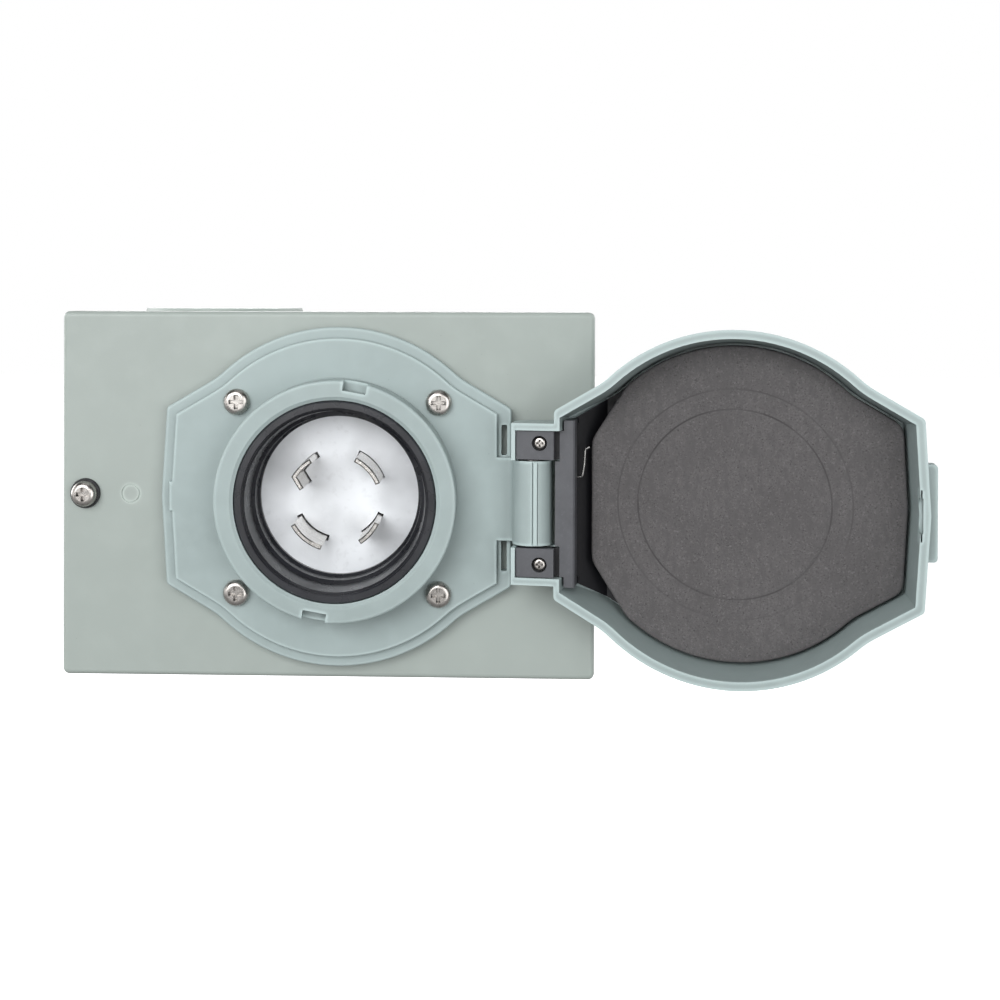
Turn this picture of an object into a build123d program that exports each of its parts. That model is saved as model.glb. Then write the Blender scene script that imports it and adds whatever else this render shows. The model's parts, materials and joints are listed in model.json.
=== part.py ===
"""Generator inlet box: steel box and cover, flanged locking inlet and a spring lid.

Frame: +X right, +Z up, -Y towards the person who plugs in. The origin is the middle of the
wall face of the box. The lid is modelled standing open, as it stays when pushed back.
Heights are measured from the front face of the steel cover, depths in the lid from its rim.
"""

import os
from math import acos, cos, degrees, radians, sin, tan

from build123d import *

# ---------------------------------------------------------------- driving dimensions (mm)
# Steel box and cover
BOX_WIDTH = 171.5  # along X, over the cover
BOX_HEIGHT = 117.5  # along Z, over the cover
BOX_DEPTH = 82.0  # wall face to cover front
SHEET = 1.4  # steel thickness
COVER_FIT = 0.25  # gap between the cover's lips and the box walls
COVER_LIP = 15.0  # how far the cover's lips reach back
BEND_RADIUS = 1.6  # outside bend of the cover
BOX_CORNER = 2.0
RELIEF_WIDTH = 0.6  # slit where two lips of the cover meet
BODY_SHY = 0.2  # the box's front edges stop this far behind the cover

# Embossed pads, knockouts and holes in the box
PAD_X = -40.2  # the pads are in the two long walls
PAD_Y = -38.0
PAD_HEIGHT = 2.5
PAD_TOP_RADIUS = 26.9
PAD_BASE_RADIUS = 28.4
KNOCKOUT_RADIUS = 17.4  # trade size 1 in, 34.9 mm hole
KNOCKOUT_SLIT = 0.25
KNOCKOUT_TAB = 3.0
REAR_KNOCKOUT_X = 50.0
WALL_HOLE_RADIUS = 3.2
WALL_HOLE_SPACING_X = 140.0
WALL_HOLE_SPACING_Z = 76.0
GROUND_SCREW_X = -52.0
GROUND_SCREW_Z = -30.0
GROUND_SCREW_RADIUS = 2.4
GROUND_WASHER_RADIUS = 5.2
GROUND_WASHER_THICKNESS = 1.0
GROUND_HEAD_SIZE = 4.0  # half across flats
GROUND_HEAD_HEIGHT = 3.4
GROUND_SLOT = 6.0
GROUND_SLOT_WIDTH = 1.1
GROUND_SLOT_DEPTH = 1.2
GROUND_SCREW_SHY = 0.1  # the screw ends just inside the wall face
COVER_SCREW_X = -78.2
COVER_SCREW_RADIUS = 2.1
COVER_SCREW_HEAD = 4.1
COVER_SCREW_HEAD_HEIGHT = 2.9
COVER_SCREW_LENGTH = 9.0
COVER_BOSS_RADIUS = 3.6  # threaded collar the cover screw bites in
COVER_BOSS_DEPTH = 2.2
WASHER_RADIUS = 4.8
WASHER_THICKNESS = 1.4
WASHER_EDGE = 0.5
SCREW_TAB_WIDTH = 15.0
SCREW_TAB_HALF = 16.0
PLAIN_TAB_MARGIN = 12.0  # from the corners, at the other end
DIMPLE_X = -63.5
DIMPLE_RADIUS = 3.1  # a pressed ring beside the cover screw
DIMPLE_GROOVE = 0.5
DIMPLE_DEPTH = 0.4

# Flange, measured from the inlet's centre
INLET_X = 4.0  # the inlet sits a little towards the hinge
FLANGE_RADIUS = 54.0
FLANGE_END = 54.9  # far corners, opposite the hinge
FLANGE_APEX = 56.6  # middle of the far edge
FLANGE_HINGE_EDGE = 55.0
SHOULDER_SLOPE = 30.5  # degrees, the straight shoulders
SHOULDER_X = 47.5  # a point on the straight shoulder
SHOULDER_Z = 32.6
CORNER_RADIUS = 1.8
NECK_BLEND = 28.0  # hollow blend from round to straight
GASKET_THICKNESS = 1.0
GASKET_INSET = 1.5
BAND_TOP = 5.0  # the outer band, which the lid shuts against
BAND_EDGE = 0.7
PLATEAU_TOP = 7.4
PLATEAU_INSET = 3.5
PLATEAU_EDGE = 0.5
PLATEAU_HINGE_EDGE = 50.5
COLLAR_TOP = 19.0
COLLAR_RADIUS = 37.8
COLLAR_BORE = 31.6
COLLAR_TAPER = 0.5  # degrees
COLLAR_EDGE = 0.8
MOUTH_DEPTH = 1.1
MOUTH_WIDTH = 0.7
COLLAR_NOTCH_WIDTH = 7.4
COLLAR_NOTCH_RADIUS = 34.5
COLLAR_NOTCH_LENGTH = 10.0
COLLAR_NOTCH_DEPTH = 5.0
COLLAR_NOTCH_ANGLE = 80.0
DRAIN_START = 13.6  # drain slots beside the hinge arm, from the middle
DRAIN_END = 23.2
DRAIN_X = 52.7
DRAIN_WIDTH = 1.8
DRAIN_CORNER = 0.4
CATCH_HALF = 4.7
CATCH_REACH = 0.6
ARM_START = -11.6  # where the hinge arm meets the plateau, from the hinge axis
ARM_VALLEY = 2.2  # hollow between arm and barrel
ARM_RISE = 0.2
KNUCKLE_OVERRUN = 1.0
STRIP_WIDTH = 1.1  # raised strip along the barrel, between two fine grooves
STRIP_HEIGHT = 0.3
STRIP_OFFSET = 0.6  # towards the lid
STRIP_SHY = 0.3
GROOVE_WIDTH = 0.4
GROOVE_DEPTH = 0.4
SPRING_ROOM = 1.5  # beyond the coil
FLANGE_SCREW_SPACING_X = 64.0
FLANGE_SCREW_SPACING_Z = 60.5
FLANGE_SCREW_HEAD = 4.15
FLANGE_SCREW_HEAD_HEIGHT = 2.7
FLANGE_SCREW_RADIUS = 2.0
FLANGE_SCREW_LENGTH = 18.0
FLANGE_NUT_SIZE = 3.5  # half across flats
FLANGE_NUT_THICKNESS = 3.2
SCREW_CLEARANCE = 0.2
SCREW_POINT = 0.6
GASKET_SLOT_MARGIN = 0.5

# Inlet
COVER_HOLE_RADIUS = 32.2
LINER_RADIUS = 31.4
LINER_TOP = 18.7  # just inside the collar's top
LINER_EDGE = 0.5
LINER_MOUTH = 28.8  # inside of the front ring
LINER_MOUTH_EDGE = 0.4
LINER_MOUTH_DEPTH = 1.4
LINER_CONE_STEP = 0.6  # from the mouth into the cone
LINER_THROAT = 27.5  # end of the cone
LINER_THROAT_HEIGHT = 7.0
LINER_THROAT_STEP = 1.1
LINER_FOOT = 26.2  # step down to the white face
LINER_FOOT_HEIGHT = 1.4
LINER_REAR = -14.0
LINER_SKIRT = 29.4  # behind the cover
LINER_PLATE = 3.0
LINER_PLATE_WIDTH = 76.0
LINER_PLATE_HEIGHT = 72.5
LINER_PLATE_CORNER = 9.0
CAVITY_RADIUS = 25.4
FACE_HEIGHT = -1.2  # the white face is just behind the cover's front
FACE_THICKNESS = 6.0
BLADE_TIP = 18.4
BLADE_RADIUS = 15.4  # outside of the blades
BLADE_THICKNESS = 1.5
BLADE_TAIL = -39.0
BLADE_WAIST = -20.0  # the blades narrow to their tails here
BLADE_TAIL_ARC = 18.0
SLOT_GAP = 0.35
SLOT_GAP_ANGLE = 2.0
BODY_RADIUS = 27.0
BODY_REAR = -41.2
TERMINAL_HEIGHT = -34.0
BODY_NECK = 7.0  # length of the neck behind the white face
BODY_STEP = -14.2  # front of the wide part
BODY_EDGE = 1.2
BLADE_TIP_EDGE = 0.35
ROOM_X = 16.7  # middle of a terminal's room, from the inlet's axis
ROOM_Y = 3.4
ROOM_DEPTH = 9.4
ROOM_LENGTH = 21.8
ROOM_HALF = 4.2
PORT_X = 24.0
PORT_DEPTH = 8.0
PORT_HALF = 2.6  # of the square port that a terminal's screw is turned through
CLAMP_DEPTH = 8.8
CLAMP_LENGTH = 8.0
CLAMP_HALF = 4.0
CLAMP_HOLLOW_X = 15.9
CLAMP_HOLLOW_DEPTH = 5.2
CLAMP_HOLLOW_LENGTH = 9.0
CLAMP_HOLLOW_HALF = 2.9
TERMINAL_SCREW_RADIUS = 1.8
TERMINAL_SCREW_HEAD = 2.4
TERMINAL_SCREW_HEAD_HEIGHT = 2.2
TERMINAL_SCREW_SEAT = 22.0  # from the inlet's axis
TERMINAL_SCREW_LENGTH = 5.6
BODY_SCREW_X = 21.0
BODY_SCREW_RADIUS = 1.6
BODY_SCREW_HOLE = 1.8
BODY_SCREW_BITE = 3.5
BODY_SCREW_HEAD = 3.1
BODY_SCREW_HEAD_HEIGHT = 2.4
BODY_SCREW_SINK = 3.0
BODY_SCREW_SINK_RADIUS = 3.4
BODY_SCREW_LENGTH = 33.5
BODY_SCREW_POINT = 0.5

# Hinge and lid
HINGE_X = 61.4  # hinge axis, from the inlet's centre
HINGE_HEIGHT = 12.6
OPEN_ANGLE = 170.0  # the lid's stop
LID_SEAT = 5.2  # rim height when shut
BARREL_RADIUS = 6.2
BARREL_HALF = 13.05
PIN_RADIUS = 1.5
PIN_RUNNING_FIT = 0.08
PIN_HALF = 22.2
PIN_EDGE = 0.3
SPRING_BORE = 4.4
SPRING_RADIUS = 3.1
SPRING_WIRE = 0.4  # radius of the wire
SPRING_TURNS = 10
SPRING_LENGTH = 10.5
SPRING_SIDE_PAD_START = 15.3
LEG_Z = 14.3
LEG_DEPTH = 12.0
LID_DEPTH = 25.5
LID_FLOOR = 21.7  # inside face of the floor
LID_RECESS = 23.2  # deeper floor near the hinge, for the black insert
LID_WALL = 2.7
LID_DRAFT = 5.0
OUTER_DRAFT = 2.0
LID_HINGE_SIDE = 7.6  # outside of the hinge wall, from the hinge axis
LID_HINGE_WALL = 1.7
HEEL_DEPTH = 14.5  # the back slopes up from here, so the open lid clears the cover
HEEL_SLOPE = 40.0
HEEL_WALL = 2.2
EAR_INNER = 13.5
EAR_OUTER = 24.9
EAR_POCKET = 22.7
EAR_END = 5.6
POCKET_END = 10.9
EAR_WALL = 1.2
BACK_RADIUS = 4.5
TAB_HALF = 14.5
TAB_REACH = 2.6
TAB_DEPTH = 7.0
TAB_THICKNESS = 5.5
TAB_CORNER = 1.2
TAB_ROOT = 1.0  # sunk into the wall
SNAP_HALF = 7.6  # shallow step around the relief that clears the flange's catch
SNAP_STEP = 0.25
SNAP_RELIEF = 0.5
SNAP_DEPTH = 3.5

# Foam pad
FOAM_FACE = 14.3
FOAM_INSET = 5.2
FOAM_EDGE = 17.7  # hinge edge of the foam, from the hinge axis
FOAM_CORNER_START = 19.0
FOAM_CORNER_ALONG = 25.3
FOAM_CORNER_END = 31.0

# Black hinge cap
CAP_GAP = 0.2
PAD_FACE = 1.0
PAD_END = 7.4
NECK_FACE = 4.1
SKIN_BACK = 2.9  # the pad is thinned to this depth over the spring's leg
NECK_SKIN_BACK = 4.7
RISER = 0.8
BAR_START = 10.3
BAR_LIP = 9.0  # the bar reaches over the lid's lowered wall, and further beside the barrel
BAR_ARM_LIP = 7.6
BAR_END = 13.6
BAR_FACE = 3.3
BAR_HALF = 25.7
BAR_LEAN = 1.2
BAR_THICKNESS = 1.6
BAR_WALL_DEPTH = 11.0
PLATE_THICKNESS = 1.5
PLATE_END = 30.0
PLATE_INSET = 5.2  # from the lid's outline
CAP_SCREW_ALONG = 3.0
CAP_SCREW_Z = 18.7
CAP_SCREW_RADIUS = 1.1
CAP_SCREW_HEAD = 2.05
CAP_SCREW_SEAT = 3.2
CAP_SCREW_BITE = 4.0
CAP_SCREW_HOLE = 1.3
CAP_SCREW_HEAD_FIT = 0.3
CAP_SCREW_HEAD_HEIGHT = 1.5
CAP_SCREW_POINT = 0.4
BAR_EDGE = 0.5

# ---------------------------------------------------------------- frames
AXIS_IN_LID = HINGE_HEIGHT - LID_SEAT  # depth of the hinge axis in the lid
LID_TILT = radians(180 - OPEN_ANGLE)
ALONG_LID = Vector(cos(LID_TILT), -sin(LID_TILT), 0)  # hinge to far end
INTO_LID = Vector(sin(LID_TILT), cos(LID_TILT), 0)  # rim to back
HINGE_POINT = Vector(INLET_X + HINGE_X, -BOX_DEPTH - HINGE_HEIGHT, 0)


def facing(height, x=INLET_X):
    """A plane parallel to the cover at this height, with +Z up."""
    return Plane(origin=(x, -BOX_DEPTH - height, 0), x_dir=(1, 0, 0), z_dir=(0, -1, 0))


def from_wall(distance):
    """A plane parallel to the wall at this distance, centred on the box."""
    return facing(distance - BOX_DEPTH, 0)


def lid_plane(depth):
    """A plane parallel to the lid's rim. +x points to the hinge, the normal into the lid."""
    middle = HINGE_POINT + ALONG_LID * HINGE_X + INTO_LID * (depth - AXIS_IN_LID)
    return Plane(origin=middle, x_dir=-ALONG_LID, z_dir=INTO_LID)


def lid_section(z=0.0):
    """A plane across the hinge: x runs along the lid, y is the depth from the rim."""
    origin = HINGE_POINT - INTO_LID * AXIS_IN_LID + Vector(0, 0, z)
    return Plane(origin=origin, x_dir=ALONG_LID, z_dir=(0, 0, 1))


def inlet_section(x=INLET_X):
    """A plane through the inlet's axis: x is across it, y is the height above the cover."""
    return Plane(origin=(x, -BOX_DEPTH, 0), x_dir=(1, 0, 0), z_dir=(0, 0, -1))


def shoulder(x):
    """Half width of the straight shoulders at this distance from the inlet's centre."""
    return SHOULDER_Z - tan(radians(SHOULDER_SLOPE)) * (x - SHOULDER_X)


def outline(hinge_edge, inset=0.0):
    """The round outline with two straight shoulders each side, shared by flange and lid."""
    slope = radians(SHOULDER_SLOPE)
    line_distance = SHOULDER_X * sin(slope) + SHOULDER_Z * cos(slope)
    meet = 90 - SHOULDER_SLOPE - degrees(acos(line_distance / FLANGE_RADIUS))
    neck_x = FLANGE_RADIUS * cos(radians(meet))
    with BuildSketch() as shape:
        with BuildLine():
            arc = CenterArc((0, 0), FLANGE_RADIUS, meet, 180 - 2 * meet)
            Polyline(arc @ 0, (hinge_edge, shoulder(hinge_edge)), (hinge_edge, 0))
            Polyline(arc @ 1, (-FLANGE_END, shoulder(FLANGE_END)), (-FLANGE_APEX, 0))
            mirror(about=Plane.XZ)
        make_face()
        necks = shape.vertices().filter_by(lambda v: abs(abs(v.X) - neck_x) < 0.01)
        fillet(necks, NECK_BLEND)
        corners = shape.vertices().filter_by(lambda v: abs(v.X) > SHOULDER_X and abs(v.Y) > 1)
        fillet(corners, CORNER_RADIUS)
        if inset:
            offset(amount=-inset, mode=Mode.REPLACE)
    return shape.sketch


def pan_screw(head_radius, head_height, shank_radius, length, point=0.0):
    """A cross-recess pan-head screw: its head stands on the plane z = 0, its shank below."""
    with BuildPart() as screw:
        Cylinder(head_radius, head_height, align=(Align.CENTER, Align.CENTER, Align.MIN))
        fillet(screw.edges().sort_by(Axis.Z)[-1], head_height * 0.62)
        shank = Cylinder(shank_radius, length, align=(Align.CENTER, Align.CENTER, Align.MAX))
        if point:
            chamfer(shank.edges().sort_by(Axis.Z)[0], point)
        with BuildSketch(Plane.XY.offset(head_height)):
            with PolarLocations(0, 2, angular_range=180):
                Rectangle(head_radius * 1.1, head_radius * 0.32)
        extrude(amount=-head_height * 0.62, mode=Mode.SUBTRACT)
    return screw.part


def ring_sector(inner, outer, start, end):
    """A slice of a flat ring between two angles in degrees."""
    with BuildSketch() as sector:
        with BuildLine():
            inside = CenterArc((0, 0), inner, start, end - start)
            outside = CenterArc((0, 0), outer, start, end - start)
            Line(inside @ 0, outside @ 0)
            Line(inside @ 1, outside @ 1)
        make_face()
    return sector.sketch


def export(part, name):
    part.label = name
    export_step(part, f"parts/{name}.step")


os.makedirs("parts", exist_ok=True)

# ---------------------------------------------------------------- steel box
BODY_WIDTH = BOX_WIDTH - 2 * (SHEET + COVER_FIT)
BODY_HEIGHT = BOX_HEIGHT - 2 * (SHEET + COVER_FIT)
BODY_FRONT = BOX_DEPTH - SHEET - BODY_SHY


def pad_plane(side):
    """On a long wall's outside, centred on its embossed pad."""
    wall_z = side * BODY_HEIGHT / 2
    return Plane(origin=(PAD_X, PAD_Y, wall_z), x_dir=(1, 0, 0), z_dir=(0, 0, side))


END_KNOCKOUT = Plane(origin=(-BODY_WIDTH / 2, PAD_Y, 0), x_dir=(0, 1, 0), z_dir=(-1, 0, 0))
REAR_KNOCKOUT = Plane(origin=(REAR_KNOCKOUT_X, 0, 0), x_dir=(1, 0, 0), z_dir=(0, 1, 0))

with BuildPart() as back_box:
    with BuildSketch(from_wall(0)):
        RectangleRounded(BODY_WIDTH, BODY_HEIGHT, BOX_CORNER)
    extrude(amount=BODY_FRONT)
    fillet(back_box.faces().sort_by(Axis.Y)[-1].edges(), BEND_RADIUS)
    for side in (1, -1):
        with BuildSketch(pad_plane(side).offset(-SHEET)):
            Circle(PAD_BASE_RADIUS)
        with BuildSketch(pad_plane(side).offset(PAD_HEIGHT)):
            Circle(PAD_TOP_RADIUS)
        loft()
    with BuildSketch(from_wall(SHEET)):
        RectangleRounded(BODY_WIDTH - 2 * SHEET, BODY_HEIGHT - 2 * SHEET, BOX_CORNER - SHEET / 2)
    extrude(amount=BODY_FRONT, mode=Mode.SUBTRACT)
    for side in (1, -1):
        with BuildSketch(pad_plane(side).offset(-2 * SHEET)):
            Circle(PAD_BASE_RADIUS - SHEET)
        with BuildSketch(pad_plane(side).offset(PAD_HEIGHT - SHEET)):
            Circle(PAD_TOP_RADIUS - SHEET)
        loft(mode=Mode.SUBTRACT)
        with BuildSketch(pad_plane(side).offset(PAD_HEIGHT)):
            Circle(KNOCKOUT_RADIUS)
        extrude(amount=-3 * SHEET, mode=Mode.SUBTRACT)
    with BuildSketch(END_KNOCKOUT):
        Circle(KNOCKOUT_RADIUS)
    extrude(amount=-SHEET, mode=Mode.SUBTRACT)
    with BuildSketch(REAR_KNOCKOUT):
        Circle(KNOCKOUT_RADIUS)
    extrude(amount=-SHEET, mode=Mode.SUBTRACT)
    # Front edges turned in at both ends; the far one holds the cover screw
    for end, half in ((-1, SCREW_TAB_HALF), (1, BODY_HEIGHT / 2 - PLAIN_TAB_MARGIN)):
        with BuildSketch(from_wall(BODY_FRONT)):
            with Locations((end * (BODY_WIDTH / 2 - SCREW_TAB_WIDTH / 2), 0)):
                Rectangle(SCREW_TAB_WIDTH, 2 * half)
        extrude(amount=-SHEET)
    with BuildSketch(from_wall(BODY_FRONT - SHEET)):
        with Locations((COVER_SCREW_X, 0)):
            Circle(COVER_BOSS_RADIUS)
    extrude(amount=-COVER_BOSS_DEPTH)
    with BuildSketch(from_wall(BODY_FRONT)):
        with Locations((COVER_SCREW_X, 0)):
            Circle(COVER_SCREW_RADIUS)
    extrude(amount=-SHEET - COVER_BOSS_DEPTH, mode=Mode.SUBTRACT)
    with BuildSketch(from_wall(0)):
        with GridLocations(WALL_HOLE_SPACING_X, WALL_HOLE_SPACING_Z, 2, 2):
            Circle(WALL_HOLE_RADIUS)
        with Locations((GROUND_SCREW_X, GROUND_SCREW_Z)):
            Circle(GROUND_SCREW_RADIUS)
    extrude(amount=SHEET, mode=Mode.SUBTRACT)
export(back_box.part, "back_box")


def knockout(plane):
    """A punched slug, held in its hole by two small tabs."""
    with BuildPart() as slug:
        with BuildSketch(plane):
            Circle(KNOCKOUT_RADIUS - KNOCKOUT_SLIT)
            Rectangle(2 * KNOCKOUT_RADIUS, KNOCKOUT_TAB)
            Circle(KNOCKOUT_RADIUS, mode=Mode.INTERSECT)
        extrude(amount=-SHEET)
    return slug.part


with BuildPart() as side_knockouts:
    for side in (1, -1):
        add(knockout(pad_plane(side).offset(PAD_HEIGHT)))
export(side_knockouts.part, "side_knockouts")

with BuildPart() as end_knockout:
    add(knockout(END_KNOCKOUT))
export(end_knockout.part, "end_knockout")

with BuildPart() as rear_knockout:
    add(knockout(REAR_KNOCKOUT))
export(rear_knockout.part, "rear_knockout")

with BuildPart() as ground_screw:
    with BuildSketch(from_wall(SHEET)):
        with Locations((GROUND_SCREW_X, GROUND_SCREW_Z)):
            Circle(GROUND_WASHER_RADIUS)
    extrude(amount=GROUND_WASHER_THICKNESS)
    with BuildSketch(from_wall(SHEET + GROUND_WASHER_THICKNESS)):
        with Locations((GROUND_SCREW_X, GROUND_SCREW_Z)):
            RegularPolygon(GROUND_HEAD_SIZE, 6, major_radius=False)
    extrude(amount=GROUND_HEAD_HEIGHT)
    with BuildSketch(from_wall(SHEET + GROUND_WASHER_THICKNESS + GROUND_HEAD_HEIGHT)):
        with Locations((GROUND_SCREW_X, GROUND_SCREW_Z)):
            Rectangle(GROUND_SLOT, GROUND_SLOT_WIDTH)
    extrude(amount=-GROUND_SLOT_DEPTH, mode=Mode.SUBTRACT)
    with BuildSketch(from_wall(SHEET)):
        with Locations((GROUND_SCREW_X, GROUND_SCREW_Z)):
            Circle(GROUND_SCREW_RADIUS)
    extrude(amount=-SHEET + GROUND_SCREW_SHY)
export(ground_screw.part, "ground_screw")

# ---------------------------------------------------------------- steel cover
with BuildPart() as front_cover:
    with BuildSketch(from_wall(BOX_DEPTH - COVER_LIP)):
        RectangleRounded(BOX_WIDTH, BOX_HEIGHT, BOX_CORNER)
    extrude(amount=COVER_LIP)
    fillet(front_cover.faces().sort_by(Axis.Y)[0].edges(), BEND_RADIUS)
    with BuildSketch(from_wall(BOX_DEPTH - COVER_LIP)):
        Rectangle(BOX_WIDTH - 2 * SHEET, BOX_HEIGHT - 2 * SHEET)
    extrude(amount=COVER_LIP - SHEET, mode=Mode.SUBTRACT)
    with BuildSketch(from_wall(BOX_DEPTH - COVER_LIP)):
        for x in (-1, 1):
            for z in (-1, 1):
                with Locations(Location((x * BOX_WIDTH / 2, z * BOX_HEIGHT / 2), 45 * x * z)):
                    Rectangle(5 * SHEET, RELIEF_WIDTH)
    extrude(amount=COVER_LIP - 2 * BEND_RADIUS, mode=Mode.SUBTRACT)
    with BuildSketch(facing(0)):
        Circle(COVER_HOLE_RADIUS)
        with GridLocations(FLANGE_SCREW_SPACING_X, FLANGE_SCREW_SPACING_Z, 2, 2):
            Circle(FLANGE_SCREW_RADIUS + SCREW_CLEARANCE)
    extrude(amount=-SHEET, mode=Mode.SUBTRACT)
    with BuildSketch(from_wall(BOX_DEPTH)):
        with Locations((COVER_SCREW_X, 0)):
            Circle(COVER_SCREW_RADIUS + SCREW_CLEARANCE)
    extrude(amount=-SHEET, mode=Mode.SUBTRACT)
    with BuildSketch(from_wall(BOX_DEPTH)):
        with Locations((DIMPLE_X, 0)):
            Circle(DIMPLE_RADIUS)
            Circle(DIMPLE_RADIUS - DIMPLE_GROOVE, mode=Mode.SUBTRACT)
    extrude(amount=-DIMPLE_DEPTH, mode=Mode.SUBTRACT)
export(front_cover.part, "front_cover")

with BuildPart() as cover_screw_washer:
    with BuildSketch(from_wall(BOX_DEPTH)):
        with Locations((COVER_SCREW_X, 0)):
            Circle(WASHER_RADIUS)
            Circle(COVER_SCREW_RADIUS, mode=Mode.SUBTRACT)
    extrude(amount=WASHER_THICKNESS)
    fillet(cover_screw_washer.faces().sort_by(Axis.Y)[0].outer_wire().edges(), WASHER_EDGE)
export(cover_screw_washer.part, "cover_screw_washer")

with BuildPart(from_wall(BOX_DEPTH + WASHER_THICKNESS)) as cover_screw:
    with Locations((COVER_SCREW_X, 0)):
        add(pan_screw(
            COVER_SCREW_HEAD,
            COVER_SCREW_HEAD_HEIGHT,
            COVER_SCREW_RADIUS,
            COVER_SCREW_LENGTH,
            SCREW_POINT,
        ))
export(cover_screw.part, "cover_screw")

# ---------------------------------------------------------------- flange
with BuildPart() as flange_gasket:
    with BuildSketch(facing(0)):
        add(outline(FLANGE_HINGE_EDGE, GASKET_INSET))
        Circle(COVER_HOLE_RADIUS, mode=Mode.SUBTRACT)
        with GridLocations(FLANGE_SCREW_SPACING_X, FLANGE_SCREW_SPACING_Z, 2, 2):
            Circle(FLANGE_SCREW_RADIUS + SCREW_CLEARANCE, mode=Mode.SUBTRACT)
        for side in (1, -1):
            with Locations((DRAIN_X, side * (DRAIN_START + DRAIN_END) / 2)):
                length = DRAIN_END - DRAIN_START + 2 * GASKET_SLOT_MARGIN
                Rectangle(DRAIN_WIDTH + 2 * GASKET_SLOT_MARGIN, length, mode=Mode.SUBTRACT)
    extrude(amount=GASKET_THICKNESS)
export(flange_gasket.part, "flange_gasket")

with BuildPart() as inlet_flange:
    with BuildSketch(facing(GASKET_THICKNESS)):
        add(outline(FLANGE_HINGE_EDGE))
    extrude(amount=BAND_TOP - GASKET_THICKNESS)
    fillet(inlet_flange.faces().sort_by(Axis.Y)[0].edges(), BAND_EDGE)
    with BuildSketch(facing(BAND_TOP - 1)):
        add(outline(PLATEAU_HINGE_EDGE + PLATEAU_INSET, PLATEAU_INSET))
        with Locations((-FLANGE_APEX + PLATEAU_INSET, 0)):
            Rectangle(2 * CATCH_REACH, 2 * CATCH_HALF)
    extrude(amount=PLATEAU_TOP - BAND_TOP + 1)
    fillet(inlet_flange.faces().sort_by(Axis.Y)[0].edges(), PLATEAU_EDGE)
    with BuildSketch(facing(PLATEAU_TOP - 1)):
        Circle(COLLAR_RADIUS)
    extrude(amount=COLLAR_TOP - PLATEAU_TOP + 1, taper=COLLAR_TAPER)
    fillet(inlet_flange.faces().sort_by(Axis.Y)[0].edges(), COLLAR_EDGE)
    with BuildSketch(facing(COLLAR_TOP)):
        notch_middle = COLLAR_NOTCH_RADIUS + COLLAR_NOTCH_LENGTH / 2
        with PolarLocations(notch_middle, 2, start_angle=COLLAR_NOTCH_ANGLE):
            Rectangle(COLLAR_NOTCH_LENGTH, COLLAR_NOTCH_WIDTH)
    extrude(amount=-COLLAR_NOTCH_DEPTH, mode=Mode.SUBTRACT)
    with BuildSketch(facing(COLLAR_TOP)):
        Circle(COLLAR_BORE)
    extrude(amount=-COLLAR_TOP, mode=Mode.SUBTRACT)
    mouth = inlet_flange.edges().filter_by(GeomType.CIRCLE)
    mouth = mouth.filter_by(lambda e: abs(e.radius - COLLAR_BORE) < 0.01).sort_by(Axis.Y)[0]
    chamfer(mouth, MOUTH_DEPTH, MOUTH_WIDTH)
    # Hinge arm and barrel
    with BuildSketch(inlet_section(INLET_X + HINGE_X)) as knuckle:
        with Locations((0, HINGE_HEIGHT)):
            Circle(BARREL_RADIUS)
        with BuildLine():
            Polyline(
                (ARM_START, GASKET_THICKNESS),
                (ARM_START, PLATEAU_TOP),
                (0, PLATEAU_TOP + ARM_RISE),
                (0, HINGE_HEIGHT - BARREL_RADIUS),
                (FLANGE_HINGE_EDGE - HINGE_X, GASKET_THICKNESS),
                close=True,
            )
        make_face()
        valley = knuckle.vertices().filter_by(lambda v: -5 < v.X < -3).sort_by(Axis.Y)[-1]
        fillet(valley, ARM_VALLEY)
    extrude(amount=BARREL_HALF, both=True)
    with BuildSketch(inlet_section(INLET_X + HINGE_X)):
        with Locations((STRIP_OFFSET, HINGE_HEIGHT + BARREL_RADIUS)):
            Rectangle(STRIP_WIDTH + 2 * GROOVE_WIDTH, 2 * GROOVE_DEPTH)
    extrude(amount=BARREL_HALF - STRIP_SHY, both=True, mode=Mode.SUBTRACT)
    with BuildSketch(inlet_section(INLET_X + HINGE_X)):
        with Locations((STRIP_OFFSET, HINGE_HEIGHT + BARREL_RADIUS)):
            Rectangle(STRIP_WIDTH, 2 * GROOVE_DEPTH + 2 * STRIP_HEIGHT)
    extrude(amount=BARREL_HALF - STRIP_SHY, both=True)
    with BuildSketch(inlet_section(INLET_X + HINGE_X)):
        with Locations((0, HINGE_HEIGHT)):
            Circle(PIN_RADIUS + PIN_RUNNING_FIT)
    extrude(amount=BARREL_HALF + KNUCKLE_OVERRUN, both=True, mode=Mode.SUBTRACT)
    with BuildSketch(lid_section(BARREL_HALF)):
        with Locations((0, AXIS_IN_LID)):
            Circle(SPRING_BORE)
    extrude(amount=-SPRING_LENGTH - SPRING_ROOM, mode=Mode.SUBTRACT)
    # Drain slots beside the arm, and screw holes
    with BuildSketch(facing(0)):
        for side in (1, -1):
            with Locations((DRAIN_X, side * (DRAIN_START + DRAIN_END) / 2)):
                RectangleRounded(DRAIN_WIDTH, DRAIN_END - DRAIN_START, DRAIN_CORNER)
        with GridLocations(FLANGE_SCREW_SPACING_X, FLANGE_SCREW_SPACING_Z, 2, 2):
            Circle(FLANGE_SCREW_RADIUS + SCREW_CLEARANCE)
    extrude(amount=PLATEAU_TOP + 1, mode=Mode.SUBTRACT)
export(inlet_flange.part, "inlet_flange")

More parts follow.
